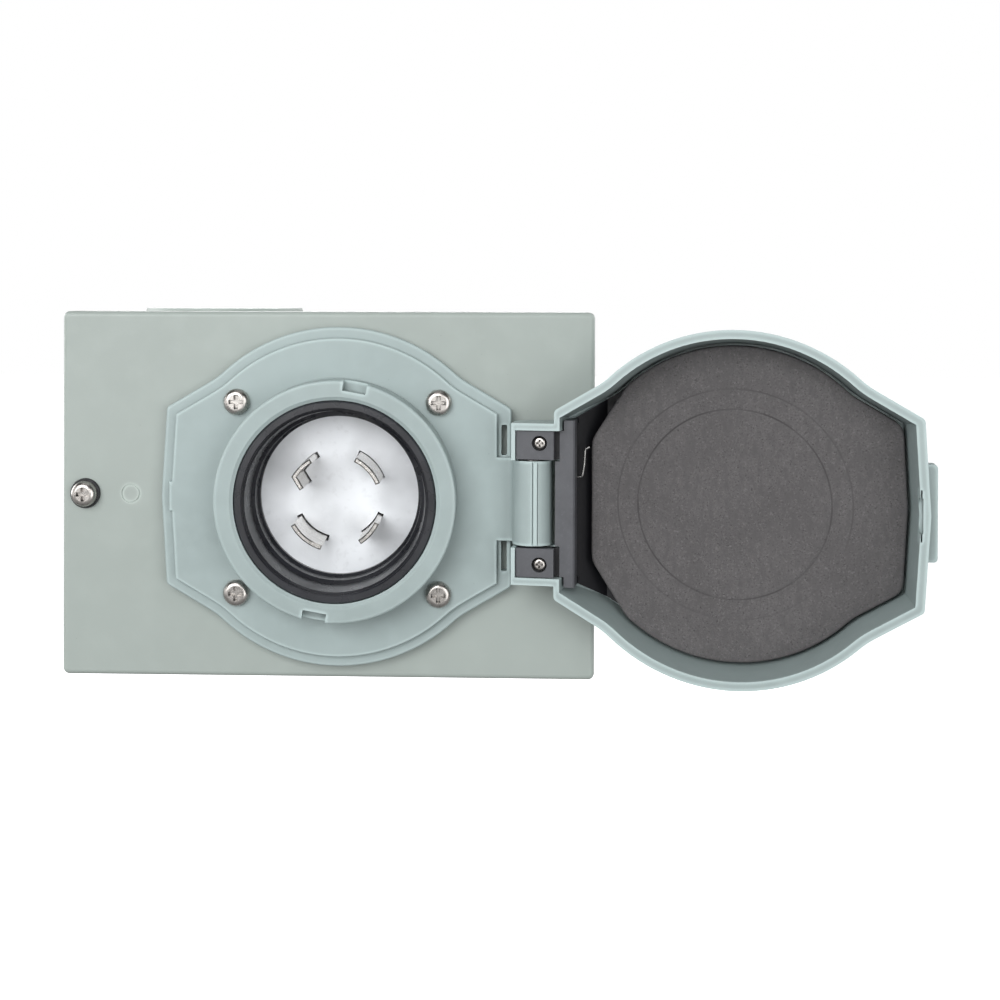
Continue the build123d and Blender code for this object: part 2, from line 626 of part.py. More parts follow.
with BuildPart(facing(PLATEAU_TOP)) as flange_screws:
    with GridLocations(FLANGE_SCREW_SPACING_X, FLANGE_SCREW_SPACING_Z, 2, 2):
        add(pan_screw(
            FLANGE_SCREW_HEAD,
            FLANGE_SCREW_HEAD_HEIGHT,
            FLANGE_SCREW_RADIUS,
            FLANGE_SCREW_LENGTH,
            SCREW_POINT,
        ))
export(flange_screws.part, "flange_screws")

PLATE_FRONT = -SHEET - BODY_SHY  # front of the liner's plate, behind the cover

with BuildPart() as flange_nuts:
    with BuildSketch(facing(PLATE_FRONT - LINER_PLATE)):
        with GridLocations(FLANGE_SCREW_SPACING_X, FLANGE_SCREW_SPACING_Z, 2, 2):
            RegularPolygon(FLANGE_NUT_SIZE, 6, major_radius=False)
            Circle(FLANGE_SCREW_RADIUS, mode=Mode.SUBTRACT)
    extrude(amount=-FLANGE_NUT_THICKNESS)
export(flange_nuts.part, "flange_nuts")

# ---------------------------------------------------------------- inlet
with BuildPart() as shroud_liner:
    with BuildSketch(inlet_section()):
        with BuildLine():
            Polyline(
                (LINER_RADIUS, PLATE_FRONT - 1),
                (LINER_RADIUS, LINER_TOP - LINER_EDGE),
                (LINER_RADIUS - LINER_EDGE, LINER_TOP),
                (LINER_MOUTH + LINER_MOUTH_EDGE, LINER_TOP),
                (LINER_MOUTH, LINER_TOP - LINER_MOUTH_EDGE),
                (LINER_MOUTH, LINER_TOP - LINER_MOUTH_DEPTH),
                (LINER_MOUTH - LINER_CONE_STEP, LINER_TOP - LINER_MOUTH_DEPTH - LINER_CONE_STEP),
                (LINER_THROAT, LINER_THROAT_HEIGHT),
                (LINER_THROAT - LINER_THROAT_STEP, LINER_THROAT_HEIGHT - LINER_THROAT_STEP),
                (LINER_FOOT, LINER_FOOT_HEIGHT),
                (CAVITY_RADIUS, LINER_FOOT_HEIGHT + CAVITY_RADIUS - LINER_FOOT),
                (CAVITY_RADIUS, LINER_REAR),
                (LINER_SKIRT, LINER_REAR),
                (LINER_SKIRT, PLATE_FRONT - 1),
                close=True,
            )
        make_face()
    revolve(axis=Axis((INLET_X, -BOX_DEPTH, 0), (0, 1, 0)))
    with BuildSketch(facing(PLATE_FRONT)):
        RectangleRounded(LINER_PLATE_WIDTH, LINER_PLATE_HEIGHT, LINER_PLATE_CORNER)
        Circle(BODY_RADIUS + 1, mode=Mode.SUBTRACT)
        with GridLocations(FLANGE_SCREW_SPACING_X, FLANGE_SCREW_SPACING_Z, 2, 2):
            Circle(FLANGE_SCREW_RADIUS + SCREW_CLEARANCE, mode=Mode.SUBTRACT)
    extrude(amount=-LINER_PLATE)
export(shroud_liner.part, "shroud_liner")

# Blades: name, start and end angle, and whether the end carries the inward hook
BLADES = (
    ("blade_x", 23.0, 64.0, False),
    ("blade_g", 120.0, 150.0, True),
    ("blade_y", 209.0, 254.0, False),
    ("blade_w", 302.5, 334.0, False),
)
BLADE_INNER = BLADE_RADIUS - BLADE_THICKNESS
HOOK_LENGTH = 4.9
HOOK_DIRECTION = -58.5  # degrees


def hook(end, gap=0.0):
    """The ground blade's leg, bent inward from the outer corner of its end."""
    corner = Vector(BLADE_RADIUS, 0).rotate(Axis.Z, end)
    along = Vector(1, 0).rotate(Axis.Z, HOOK_DIRECTION)
    aside = Vector(0, 1).rotate(Axis.Z, HOOK_DIRECTION)
    middle = corner + along * (HOOK_LENGTH / 2) + aside * (BLADE_THICKNESS / 2)
    with BuildSketch() as leg:
        with Locations(Location((middle.X, middle.Y), HOOK_DIRECTION)):
            Rectangle(HOOK_LENGTH + 2 * gap, BLADE_THICKNESS + 2 * gap)
    return leg.sketch


def blade_slots():
    """The outlines of the four slots the blades pass through, with clearance."""
    inner = BLADE_INNER - SLOT_GAP
    outer = BLADE_RADIUS + SLOT_GAP / 2
    with BuildSketch() as slots:
        for _, start, end, hooked in BLADES:
            add(ring_sector(inner, outer, start - SLOT_GAP_ANGLE, end + SLOT_GAP_ANGLE))
            if hooked:
                add(hook(end, SLOT_GAP))
    return slots.sketch


with BuildPart() as inlet_face:
    with BuildSketch(facing(FACE_HEIGHT)):
        Circle(CAVITY_RADIUS)
    extrude(amount=-FACE_THICKNESS)
    with BuildSketch(facing(FACE_HEIGHT)):
        add(blade_slots())
    extrude(amount=-FACE_THICKNESS, mode=Mode.SUBTRACT)
    with BuildSketch(facing(FACE_HEIGHT - FACE_THICKNESS)):
        with PolarLocations(BODY_SCREW_X, 2):
            Circle(BODY_SCREW_RADIUS)
    extrude(amount=BODY_SCREW_BITE, mode=Mode.SUBTRACT)
export(inlet_face.part, "inlet_face")


def blade_tail(angle, gap_angle=0.0):
    """The narrow tail of a blade that its clamp holds."""
    half = BLADE_TAIL_ARC / 2 + gap_angle
    gap = SLOT_GAP / 2 if gap_angle else 0
    return ring_sector(BLADE_INNER - gap, BLADE_RADIUS + gap, angle - half, angle + half)


for name, start, end, hooked in BLADES:
    with BuildPart() as blade:
        with BuildSketch(facing(BLADE_WAIST)):
            add(ring_sector(BLADE_INNER, BLADE_RADIUS, start, end))
            if hooked:
                add(hook(end))
        extrude(amount=BLADE_TIP - BLADE_WAIST)
        tip_edges = blade.faces().sort_by(Axis.Y)[0].edges()
        chamfer(tip_edges, BLADE_TIP_EDGE)
        with BuildSketch(facing(BLADE_WAIST)):
            add(blade_tail((start + end) / 2))
        extrude(amount=BLADE_TAIL - BLADE_WAIST)
    export(blade.part, name)

BODY_FRONT_HEIGHT = FACE_HEIGHT - FACE_THICKNESS
TERMINAL_ANGLES = [(start + end) / 2 for _, start, end, _ in BLADES]


def terminal_plane(angle):
    """A plane across one terminal, centred on its blade: x is outward, y is along the blade."""
    outward = (cos(radians(angle)), 0, sin(radians(angle)))
    sideways = (-sin(radians(angle)), 0, cos(radians(angle)))
    origin = (INLET_X, -BOX_DEPTH - TERMINAL_HEIGHT, 0)
    return Plane(origin=origin, x_dir=outward, z_dir=sideways)


with BuildPart() as terminal_body:
    with BuildSketch(facing(BODY_FRONT_HEIGHT)):
        Circle(CAVITY_RADIUS)
    extrude(amount=-BODY_NECK)
    with BuildSketch(facing(BODY_STEP)):
        Circle(BODY_RADIUS)
    extrude(amount=BODY_REAR - BODY_STEP)
    fillet(terminal_body.faces().sort_by(Axis.Y)[-1].edges(), BODY_EDGE)
    with BuildSketch(facing(BODY_FRONT_HEIGHT)):
        add(blade_slots())
    extrude(amount=BLADE_WAIST - BODY_FRONT_HEIGHT, mode=Mode.SUBTRACT)
    with BuildSketch(facing(BLADE_WAIST)):
        for angle in TERMINAL_ANGLES:
            add(blade_tail(angle, SLOT_GAP_ANGLE))
    extrude(amount=TERMINAL_HEIGHT - BLADE_WAIST, mode=Mode.SUBTRACT)
    for angle in TERMINAL_ANGLES:
        with BuildSketch(terminal_plane(angle)):
            with Locations((ROOM_X, ROOM_Y)):
                Rectangle(ROOM_DEPTH, ROOM_LENGTH)
        extrude(amount=ROOM_HALF, both=True, mode=Mode.SUBTRACT)
        with BuildSketch(terminal_plane(angle)):
            with Locations((PORT_X, 0)):
                Rectangle(PORT_DEPTH, 2 * PORT_HALF)
        extrude(amount=PORT_HALF, both=True, mode=Mode.SUBTRACT)
    with BuildSketch(facing(BODY_REAR)):
        with PolarLocations(BODY_SCREW_X, 2):
            Circle(BODY_SCREW_SINK_RADIUS)
    extrude(amount=BODY_SCREW_SINK, mode=Mode.SUBTRACT)
    with BuildSketch(facing(BODY_REAR)):
        with PolarLocations(BODY_SCREW_X, 2):
            Circle(BODY_SCREW_HOLE)
    extrude(amount=BODY_FRONT_HEIGHT - BODY_REAR, mode=Mode.SUBTRACT)
export(terminal_body.part, "terminal_body")

with BuildPart() as terminal_clamps:
    for angle in TERMINAL_ANGLES:
        with BuildSketch(terminal_plane(angle)):
            with Locations((ROOM_X, 0)):
                Rectangle(CLAMP_DEPTH, CLAMP_LENGTH)
        extrude(amount=CLAMP_HALF, both=True)
        with BuildSketch(terminal_plane(angle)):
            with Locations((CLAMP_HOLLOW_X, 0)):
                Rectangle(CLAMP_HOLLOW_DEPTH, CLAMP_HOLLOW_LENGTH)
        extrude(amount=CLAMP_HOLLOW_HALF, both=True, mode=Mode.SUBTRACT)
        with BuildSketch(Plane(terminal_plane(angle).origin, z_dir=terminal_plane(angle).x_dir)):
            Circle(TERMINAL_SCREW_RADIUS)
        extrude(amount=TERMINAL_SCREW_SEAT, mode=Mode.SUBTRACT)
export(terminal_clamps.part, "terminal_clamps")

with BuildPart() as terminal_screws:
    for angle in TERMINAL_ANGLES:
        outward = Plane(terminal_plane(angle).origin, z_dir=terminal_plane(angle).x_dir)
        with Locations(outward.offset(TERMINAL_SCREW_SEAT)):
            add(pan_screw(
                TERMINAL_SCREW_HEAD,
                TERMINAL_SCREW_HEAD_HEIGHT,
                TERMINAL_SCREW_RADIUS,
                TERMINAL_SCREW_LENGTH,
            ))
export(terminal_screws.part, "terminal_screws")

with BuildPart() as body_screws:
    seat_y = -BOX_DEPTH - BODY_REAR - BODY_SCREW_SINK
    for x in (-BODY_SCREW_X, BODY_SCREW_X):
        with Locations(Plane(origin=(INLET_X + x, seat_y, 0), x_dir=(1, 0, 0), z_dir=(0, 1, 0))):
            add(pan_screw(
                BODY_SCREW_HEAD,
                BODY_SCREW_HEAD_HEIGHT,
                BODY_SCREW_RADIUS,
                BODY_SCREW_LENGTH,
                BODY_SCREW_POINT,
            ))
export(body_screws.part, "body_screws")

# ---------------------------------------------------------------- lid
LID_EDGE = HINGE_X - LID_HINGE_SIDE
WALL_INSIDE = LID_HINGE_SIDE + LID_HINGE_WALL
SEAT_DEPTH = AXIS_IN_LID - 0.3
HEEL_RISE = tan(radians(HEEL_SLOPE))
PLATE_CORNER_GAP = 0.2


def heel_depth(along, wall=0.0):
    """Depth of the sloping back near the hinge, or of a face this far inside it."""
    return HEEL_DEPTH + HEEL_RISE * (along - LID_HINGE_SIDE) - wall / cos(radians(HEEL_SLOPE))


def heel_along(depth, wall=0.0):
    """How far along the lid the sloping back reaches this depth."""
    return LID_HINGE_SIDE + (depth - HEEL_DEPTH + wall / cos(radians(HEEL_SLOPE))) / HEEL_RISE


def behind_heel(wall=0.0):
    """Everything in a lid section that lies behind the sloping back."""
    with BuildSketch() as wedge:
        with BuildLine():
            Polyline(
                (-20, heel_depth(-20, wall)),
                (40, heel_depth(40, wall)),
                (-20, heel_depth(40, wall)),
                close=True,
            )
        make_face()
    return wedge.sketch


def across(start, end, top, bottom):
    """A rectangle in a lid section, given its ends along the lid and its depths."""
    with Locations(((start + end) / 2, (top + bottom) / 2)):
        Rectangle(end - start, bottom - top)


def cavity(depth):
    """The lid's tapered inside down to this depth."""
    edge = LID_EDGE - LID_HINGE_WALL + LID_WALL
    with BuildPart() as inside:
        with BuildSketch(lid_plane(0)):
            add(outline(edge, LID_WALL))
        extrude(amount=depth, taper=LID_DRAFT)
        with BuildSketch(lid_section()):
            add(behind_heel(HEEL_WALL))
        extrude(amount=FLANGE_RADIUS, both=True, mode=Mode.SUBTRACT)
    return inside.part


def floor_recess():
    """The deeper floor near the hinge, where the cap's plate lies flush."""
    with BuildPart() as recess:
        add(cavity(LID_RECESS))
        with BuildSketch(lid_section()):
            across(0, PLATE_END + PLATE_CORNER_GAP, 5, LID_RECESS + 1)
        extrude(amount=FLANGE_RADIUS, both=True, mode=Mode.INTERSECT)
    return recess.part


with BuildPart() as lid_shell:
    with BuildSketch(lid_plane(0)):
        add(outline(LID_EDGE))
    extrude(amount=LID_DEPTH, taper=OUTER_DRAFT)
    back = lid_shell.faces().sort_by(Axis(HINGE_POINT, INTO_LID))[-1]
    fillet(back.edges(), BACK_RADIUS)
    with BuildSketch(lid_section()):
        add(behind_heel())
    extrude(amount=FLANGE_RADIUS, both=True, mode=Mode.SUBTRACT)
    # Ears that hold the pin
    for side in (1, -1):
        with BuildSketch(lid_section(side * EAR_INNER)):
            across(-EAR_END, WALL_INSIDE, 0, AXIS_IN_LID)
            with Locations((0, AXIS_IN_LID)):
                Circle(EAR_END)
            with BuildLine():
                Polyline(
                    (0, AXIS_IN_LID),
                    (0, AXIS_IN_LID + EAR_END),
                    (LID_HINGE_SIDE, HEEL_DEPTH),
                    (WALL_INSIDE, heel_depth(WALL_INSIDE)),
                    (WALL_INSIDE, AXIS_IN_LID),
                    close=True,
                )
            make_face()
        extrude(amount=side * (EAR_OUTER - EAR_INNER))
    add(cavity(LID_FLOOR), mode=Mode.SUBTRACT)
    add(floor_recess(), mode=Mode.SUBTRACT)
    # Seats for the cap's pads, the gap for the flange's arm, and the pin's bores
    with BuildSketch(lid_section()):
        across(EAR_WALL - EAR_END, POCKET_END, 0, SEAT_DEPTH)
    extrude(amount=EAR_POCKET, both=True, mode=Mode.SUBTRACT)
    with BuildSketch(lid_section()):
        with Locations((0, AXIS_IN_LID)):
            Circle(PIN_RADIUS)
    extrude(amount=PIN_HALF, both=True, mode=Mode.SUBTRACT)
    with BuildSketch(lid_section(EAR_INNER)):
        with Locations((0, AXIS_IN_LID)):
            Circle(SPRING_BORE)
    extrude(amount=SPRING_SIDE_PAD_START - EAR_INNER, mode=Mode.SUBTRACT)
    with BuildSketch(lid_plane(SEAT_DEPTH)):
        for side in (1, -1):
            with Locations((HINGE_X - CAP_SCREW_ALONG, side * CAP_SCREW_Z)):
                Circle(CAP_SCREW_RADIUS)
    extrude(amount=CAP_SCREW_BITE, mode=Mode.SUBTRACT)
    # Finger tab, and the relief that clears the flange's catch
    with BuildSketch(lid_plane(TAB_DEPTH)):
        with Locations((-FLANGE_APEX - TAB_REACH / 2 + TAB_ROOT, 0)):
            RectangleRounded(TAB_REACH + 2 * TAB_ROOT, 2 * TAB_HALF, TAB_CORNER)
    extrude(amount=TAB_THICKNESS)
    with BuildSketch(lid_plane(0)):
        with Locations((-FLANGE_APEX + LID_WALL, 0)):
            Rectangle(2 * SNAP_RELIEF, 2 * CATCH_HALF + 1)
            Rectangle(2 * SNAP_STEP, 2 * SNAP_HALF)
    extrude(amount=SNAP_DEPTH, mode=Mode.SUBTRACT)
export(lid_shell.part, "lid_shell")

with BuildPart() as lid_foam_pad:
    with BuildSketch(lid_plane(FOAM_FACE)):
        add(outline(HINGE_X - FOAM_EDGE + FOAM_INSET, FOAM_INSET))
        for side in (1, -1):
            with BuildLine():
                Polyline(
                    (HINGE_X - FOAM_EDGE + 1, side * FOAM_CORNER_START),
                    (HINGE_X - FOAM_EDGE, side * FOAM_CORNER_START),
                    (HINGE_X - FOAM_CORNER_ALONG, side * FOAM_CORNER_END),
                    (HINGE_X - FOAM_CORNER_ALONG, side * (FOAM_CORNER_END + 15)),
                    (HINGE_X - FOAM_EDGE + 1, side * (FOAM_CORNER_END + 15)),
                    close=True,
                )
            make_face(mode=Mode.SUBTRACT)
    extrude(amount=LID_FLOOR - FOAM_FACE - 0.1)
    with BuildSketch(lid_section()):
        add(behind_heel(HEEL_WALL + PLATE_THICKNESS + 0.2))
    extrude(amount=FLANGE_RADIUS, both=True, mode=Mode.SUBTRACT)
export(lid_foam_pad.part, "lid_foam_pad")

# Black cap: two pads that hold the pin, a hollow bar, and a plate that runs under the foam
PLATE_BEND = heel_along(LID_RECESS, HEEL_WALL)
PLATE_INNER_BEND = heel_along(LID_FLOOR, HEEL_WALL + PLATE_THICKNESS)

with BuildPart() as cap_plate:
    with BuildSketch(lid_section()):
        with BuildLine():
            Polyline(
                (BAR_END - BAR_THICKNESS, heel_depth(BAR_END - BAR_THICKNESS, HEEL_WALL)),
                (PLATE_BEND, LID_RECESS),
                (PLATE_END, LID_RECESS),
                (PLATE_END, LID_FLOOR),
                (PLATE_INNER_BEND, LID_FLOOR),
                (
                    BAR_END - BAR_THICKNESS,
                    heel_depth(BAR_END - BAR_THICKNESS, HEEL_WALL + PLATE_THICKNESS),
                ),
                close=True,
            )
        make_face()
    extrude(amount=FLANGE_RADIUS, both=True)
    with BuildSketch(lid_plane(0)):
        add(outline(LID_EDGE - LID_HINGE_WALL + PLATE_INSET, PLATE_INSET))
    extrude(amount=LID_DEPTH, mode=Mode.INTERSECT)

with BuildPart() as hinge_cap:
    with BuildSketch(lid_section()):
        across(BAR_START, BAR_END, BAR_FACE, BAR_FACE + BAR_THICKNESS)
        across(BAR_END - BAR_THICKNESS, BAR_END, BAR_FACE, BAR_WALL_DEPTH)
    extrude(amount=BAR_HALF, both=True)
    for side in (1, -1):
        with BuildSketch(lid_section(side * BAR_HALF)):
            with BuildLine():
                Polyline(
                    (BAR_START, BAR_FACE),
                    (BAR_END, BAR_FACE),
                    (BAR_END, heel_depth(BAR_END, HEEL_WALL)),
                    (BAR_START + BAR_LEAN, heel_depth(BAR_START + BAR_LEAN, HEEL_WALL)),
                    close=True,
                )
            make_face()
        extrude(amount=-side * BAR_THICKNESS)
    rims = hinge_cap.edges().filter_by(Axis.Z).sort_by(Axis(HINGE_POINT, INTO_LID))[:2]
    chamfer(rims.sort_by(Axis(HINGE_POINT, ALONG_LID))[-1], BAR_EDGE)
    with BuildSketch(lid_section()):
        across(BAR_LIP, BAR_START + 1, BAR_FACE, BAR_FACE + BAR_THICKNESS)
    extrude(amount=EAR_POCKET - CAP_GAP, both=True)
    with BuildSketch(lid_section()):
        across(BAR_ARM_LIP, BAR_START + 1, BAR_FACE, BAR_FACE + BAR_THICKNESS)
    extrude(amount=BARREL_HALF, both=True)
    add(cap_plate.part)
    for side, start in ((1, SPRING_SIDE_PAD_START), (-1, EAR_INNER + CAP_GAP)):
        with BuildSketch(lid_section(side * start)):
            across(EAR_WALL - EAR_END + CAP_GAP, PAD_END, PAD_FACE, SEAT_DEPTH)
            across(PAD_END, BAR_START + 1, NECK_FACE, SEAT_DEPTH)
        extrude(amount=side * (EAR_POCKET - CAP_GAP - start))
    with BuildSketch(lid_section(EAR_INNER + CAP_GAP)):
        across(EAR_WALL - EAR_END + CAP_GAP, PAD_END, PAD_FACE, SKIN_BACK)
        across(PAD_END - RISER, PAD_END, PAD_FACE, NECK_SKIN_BACK)
        across(PAD_END - RISER, BAR_START + 1, NECK_FACE, NECK_SKIN_BACK)
    extrude(amount=SPRING_SIDE_PAD_START - EAR_INNER - CAP_GAP)
    with BuildSketch(lid_section()):
        with Locations((0, AXIS_IN_LID)):
            Circle(PIN_RADIUS)
    extrude(amount=EAR_POCKET, both=True, mode=Mode.SUBTRACT)
    screw_bores = ((CAP_SCREW_HEAD + CAP_SCREW_HEAD_FIT, CAP_SCREW_SEAT), (CAP_SCREW_HOLE, SEAT_DEPTH + 1))
    for radius, bottom in screw_bores:
        with BuildSketch(lid_plane(0)):
            for side in (1, -1):
                with Locations((HINGE_X - CAP_SCREW_ALONG, side * CAP_SCREW_Z)):
                    Circle(radius)
        extrude(amount=bottom, mode=Mode.SUBTRACT)
export(hinge_cap.part, "hinge_cap")

with BuildPart() as hinge_cap_screws:
    for side in (1, -1):
        seat = lid_plane(CAP_SCREW_SEAT)
        middle = seat.origin + seat.x_dir * (HINGE_X - CAP_SCREW_ALONG) + Vector(0, 0, side * CAP_SCREW_Z)
        with Locations(Plane(origin=middle, x_dir=seat.x_dir, z_dir=-INTO_LID)):
            length = SEAT_DEPTH - CAP_SCREW_SEAT + CAP_SCREW_BITE - CAP_SCREW_POINT
            add(pan_screw(CAP_SCREW_HEAD, CAP_SCREW_HEAD_HEIGHT, CAP_SCREW_RADIUS, length, CAP_SCREW_POINT))
export(hinge_cap_screws.part, "hinge_cap_screws")

with BuildPart() as hinge_pin:
    with BuildSketch(Plane(origin=HINGE_POINT - Vector(0, 0, PIN_HALF), z_dir=(0, 0, 1))):
        Circle(PIN_RADIUS)
    extrude(amount=2 * PIN_HALF)
    chamfer(hinge_pin.edges(), PIN_EDGE)
export(hinge_pin.part, "hinge_pin")


def in_lid(along, depth, z):
    """A point given by its distance from the hinge axis, its depth from the rim, and Z."""
    return HINGE_POINT + ALONG_LID * along + INTO_LID * (depth - AXIS_IN_LID) + Vector(0, 0, z)


LEG_LEAN = radians(13)
LEG_BEND = 11.0  # the leg turns down behind the bar here, then out under it
LEG_START = (SPRING_RADIUS * sin(LEG_LEAN), AXIS_IN_LID - SPRING_RADIUS * cos(LEG_LEAN))
LEG_POINTS = (
    in_lid(*LEG_START, LEG_Z),
    in_lid(LEG_BEND, LEG_START[1] + (LEG_BEND - LEG_START[0]) * tan(LEG_LEAN), LEG_Z),
    in_lid(LEG_BEND + 0.35, LEG_DEPTH - 1.0, 9.4),
    in_lid(12.7, LEG_DEPTH, 7.4),
    in_lid(15.0, LEG_DEPTH, 7.7),
    in_lid(15.6, LEG_DEPTH, 11.4),
    in_lid(15.9, LEG_DEPTH, 16.2),
    in_lid(17.3, LEG_DEPTH, 16.9),
)
coil_start = Plane(
    origin=HINGE_POINT + Vector(0, 0, LEG_Z - SPRING_LENGTH),
    x_dir=in_lid(*LEG_START, 0) - HINGE_POINT,
    z_dir=(0, 0, 1),
)
with BuildPart() as hinge_spring:
    with BuildLine(coil_start) as coil:
        Helix(SPRING_LENGTH / SPRING_TURNS, SPRING_LENGTH, SPRING_RADIUS)
    with BuildSketch(Plane(origin=coil.line @ 0, z_dir=coil.line % 0)):
        Circle(SPRING_WIRE)
    sweep(path=coil.line)
    with BuildLine() as leg:
        FilletPolyline(*LEG_POINTS, radius=0.7)
    with BuildSketch(Plane(origin=leg.line @ 0, z_dir=leg.line % 0)):
        Circle(SPRING_WIRE)
    sweep(path=leg.line)
    with Locations(LEG_POINTS[0]):
        Sphere(SPRING_WIRE)
export(hinge_spring.part, "hinge_spring")
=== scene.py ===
"""Generator inlet box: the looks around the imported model.

The steel box, cover, flange, inlet and hinge are the CAD nodes with procedural materials. The
foam pad in the lid is remodelled here as a die-cut foam sheet with the collar's imprint in it.
Lengths are metres, in the model's own frame: +X right, +Z up, -Y out of the wall.
"""

import json
import math

import bmesh
import bpy
from mathutils import Matrix, Vector


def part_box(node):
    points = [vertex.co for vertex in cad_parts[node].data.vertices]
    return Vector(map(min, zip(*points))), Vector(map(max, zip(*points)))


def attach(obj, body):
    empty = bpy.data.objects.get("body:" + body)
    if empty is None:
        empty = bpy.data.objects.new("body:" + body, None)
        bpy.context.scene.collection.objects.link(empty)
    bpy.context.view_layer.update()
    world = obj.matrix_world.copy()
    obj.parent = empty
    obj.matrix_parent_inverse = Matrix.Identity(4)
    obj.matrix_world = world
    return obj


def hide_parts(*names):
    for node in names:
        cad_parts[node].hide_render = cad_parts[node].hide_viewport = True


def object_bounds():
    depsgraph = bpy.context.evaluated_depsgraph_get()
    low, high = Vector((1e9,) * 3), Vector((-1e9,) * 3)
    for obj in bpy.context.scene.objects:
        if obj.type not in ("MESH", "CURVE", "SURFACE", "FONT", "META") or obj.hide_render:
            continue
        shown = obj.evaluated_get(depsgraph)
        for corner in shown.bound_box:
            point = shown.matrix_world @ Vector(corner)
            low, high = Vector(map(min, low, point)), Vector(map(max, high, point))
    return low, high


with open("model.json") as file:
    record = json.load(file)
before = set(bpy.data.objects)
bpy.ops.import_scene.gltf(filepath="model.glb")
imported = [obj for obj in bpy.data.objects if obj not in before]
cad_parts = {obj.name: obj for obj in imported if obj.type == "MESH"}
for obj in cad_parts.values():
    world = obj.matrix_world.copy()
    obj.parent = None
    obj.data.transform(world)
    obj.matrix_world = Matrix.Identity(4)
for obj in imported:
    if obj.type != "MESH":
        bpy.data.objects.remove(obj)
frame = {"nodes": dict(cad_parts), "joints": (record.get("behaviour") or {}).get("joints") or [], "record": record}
cad_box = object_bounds()

MM = 0.001

# ---------------------------------------------------------------- where things are
COVER_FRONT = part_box("front_cover")[0].y
LID_JOINT = next(j for j in frame["joints"] if j["name"] == "lid_hinge")
HINGE = Vector(LID_JOINT["pos_m"])
LID_TILT = math.pi - math.radians(LID_JOINT["range_deg"][1])
ALONG_LID = Vector((math.cos(LID_TILT), -math.sin(LID_TILT), 0.0))
INTO_LID = Vector((math.sin(LID_TILT), math.cos(LID_TILT), 0.0))
UP = Vector((0.0, 0.0, 1.0))
HINGE_TO_CENTRE = 61.4 * MM  # hinge axis to the middle of the lid
AXIS_IN_LID = 7.4 * MM  # depth of the axis from the rim

# ---------------------------------------------------------------- material values
# Occlusion runs from 1 in the open to 0 where closed in; each pair is where a mask starts and is full
CREVICE_RANGE = (0.85, 0.45)
EDGE_RANGE = (0.93, 0.72)
OCCLUSION_SAMPLES = 8
GLOSS_RANGE = (0.3, 0.7)  # the part of a noise's range that drives roughness
LINE_CORE = 0.3  # share of a drawn line's half width that is at full strength

# The hinge cap gets painted shade, black in its neck and below its bar, measured from the hinge axis
NECK_DEPTH = -3.7 * MM
NECK_END = 10.0 * MM
SHADE_DEPTH = 2.2 * MM
SHADE_FADE = 0.4 * MM
# black of the painted shade in the cap's neck and deep in the lid
PAINTED_SHADE_BLACK = (0.006, 0.006, 0.008)

# The foam's two pressed lines, and the painted shade that darkens each
INNER_LINE_SHADE = 0.5
OUTER_LINE_SHADE = 0.72

# ---------------------------------------------------------------- foam pad sizes
FOAM_FACE = 14.3 * MM  # depths from the lid's rim
FOAM_BACK = 21.6 * MM
FOAM_ROUND = 48.8 * MM  # radius of the round stretches
FOAM_SHOULDER = 47.0 * MM  # distance of the straight shoulders from the middle
SHOULDER_SLOPE = math.radians(30.5)
FOAM_FAR_X = 51.4 * MM
FOAM_FAR_LEAN = 0.054  # the far edge comes to a blunt point
FOAM_NEAR_X = 43.7 * MM
FOAM_NEAR_HALF = 19.0 * MM
FOAM_CHAMFER_X = 36.1 * MM
FOAM_CHAMFER_Z = 31.0 * MM
BEVEL_START = 17.2 * MM  # the back is bevelled beside the cap's sloping plate
BEVEL_SLOPE = 1.25

IMPRINT_INNER = 29.3 * MM
IMPRINT_OUTER = 35.5 * MM
IMPRINT_DEPTH = 0.35 * MM
INNER_STEP = 1.2 * MM  # width of the slope at each side of the imprint
OUTER_STEP = 1.6 * MM
GROOVE_WIDTH = 0.35 * MM  # the crushed line at each edge of the imprint
RING_SHARE = 0.6  # shares of the imprint's depth
INNER_GROOVE_SHARE = 0.7
OUTER_GROOVE_SHARE = 0.4

FOAM_STEPS = 288  # mesh points around the pad
OUTLINE_SMOOTHINGS = 3
EDGE_ROUND = 0.9 * MM
EDGE_TURNS = (18, 36, 54, 72, 90)  # degrees of the rounded edge at each mesh row
EDGE_MARGIN = 0.1 * MM  # the rows on the face stop this far inside the rounded edge
EDGE_SHARES = (0.35, 0.7, 1.0)  # rows between the last ring and the rounded edge
COARSE_RINGS = [k * MM for k in range(1, 27)]
FINE_RINGS = [26.5 * MM + k * 0.3 * MM for k in range(40)]  # across the imprint
SIDE_DEPTHS = (16.0 * MM, BEVEL_START, 18.4 * MM, 19.6 * MM, 20.8 * MM, FOAM_BACK)
SAME_POINT = 0.01 * MM

# ---------------------------------------------------------------- studio values
FLOOR_DROP = 0.36  # the box hangs well above the floor
FLOOR_HALF = 9.0
FLOOR_GLOW = 0.85
COVER_AIM = (0.04, COVER_FRONT, 0.0)
BOX_AIM = (0.0, -0.04, 0.0)
LIGHTS = (  # name, place, what it points at, width and height, watts
    ("key", (-0.42, -1.20, 0.42), COVER_AIM, (0.9, 0.8), 12.5),
    ("fill", (0.66, -1.20, 0.00), COVER_AIM, (0.8, 0.9), 6.0),
    ("top", (0.05, -0.35, 1.10), COVER_AIM, (1.0, 0.6), 1.2),
    ("side", (-1.10, -0.55, 0.10), COVER_AIM, (0.5, 0.9), 1.2),
    ("back", (0.0, 1.3, 0.5), BOX_AIM, (0.9, 0.9), 9.0),
    ("right", (1.15, 0.45, 0.3), BOX_AIM, (0.9, 0.9), 9.0),
    ("left", (-1.15, 0.45, 0.3), BOX_AIM, (0.9, 0.9), 9.0),
)
AMBIENT = 0.26  # how brightly the white studio lights the box
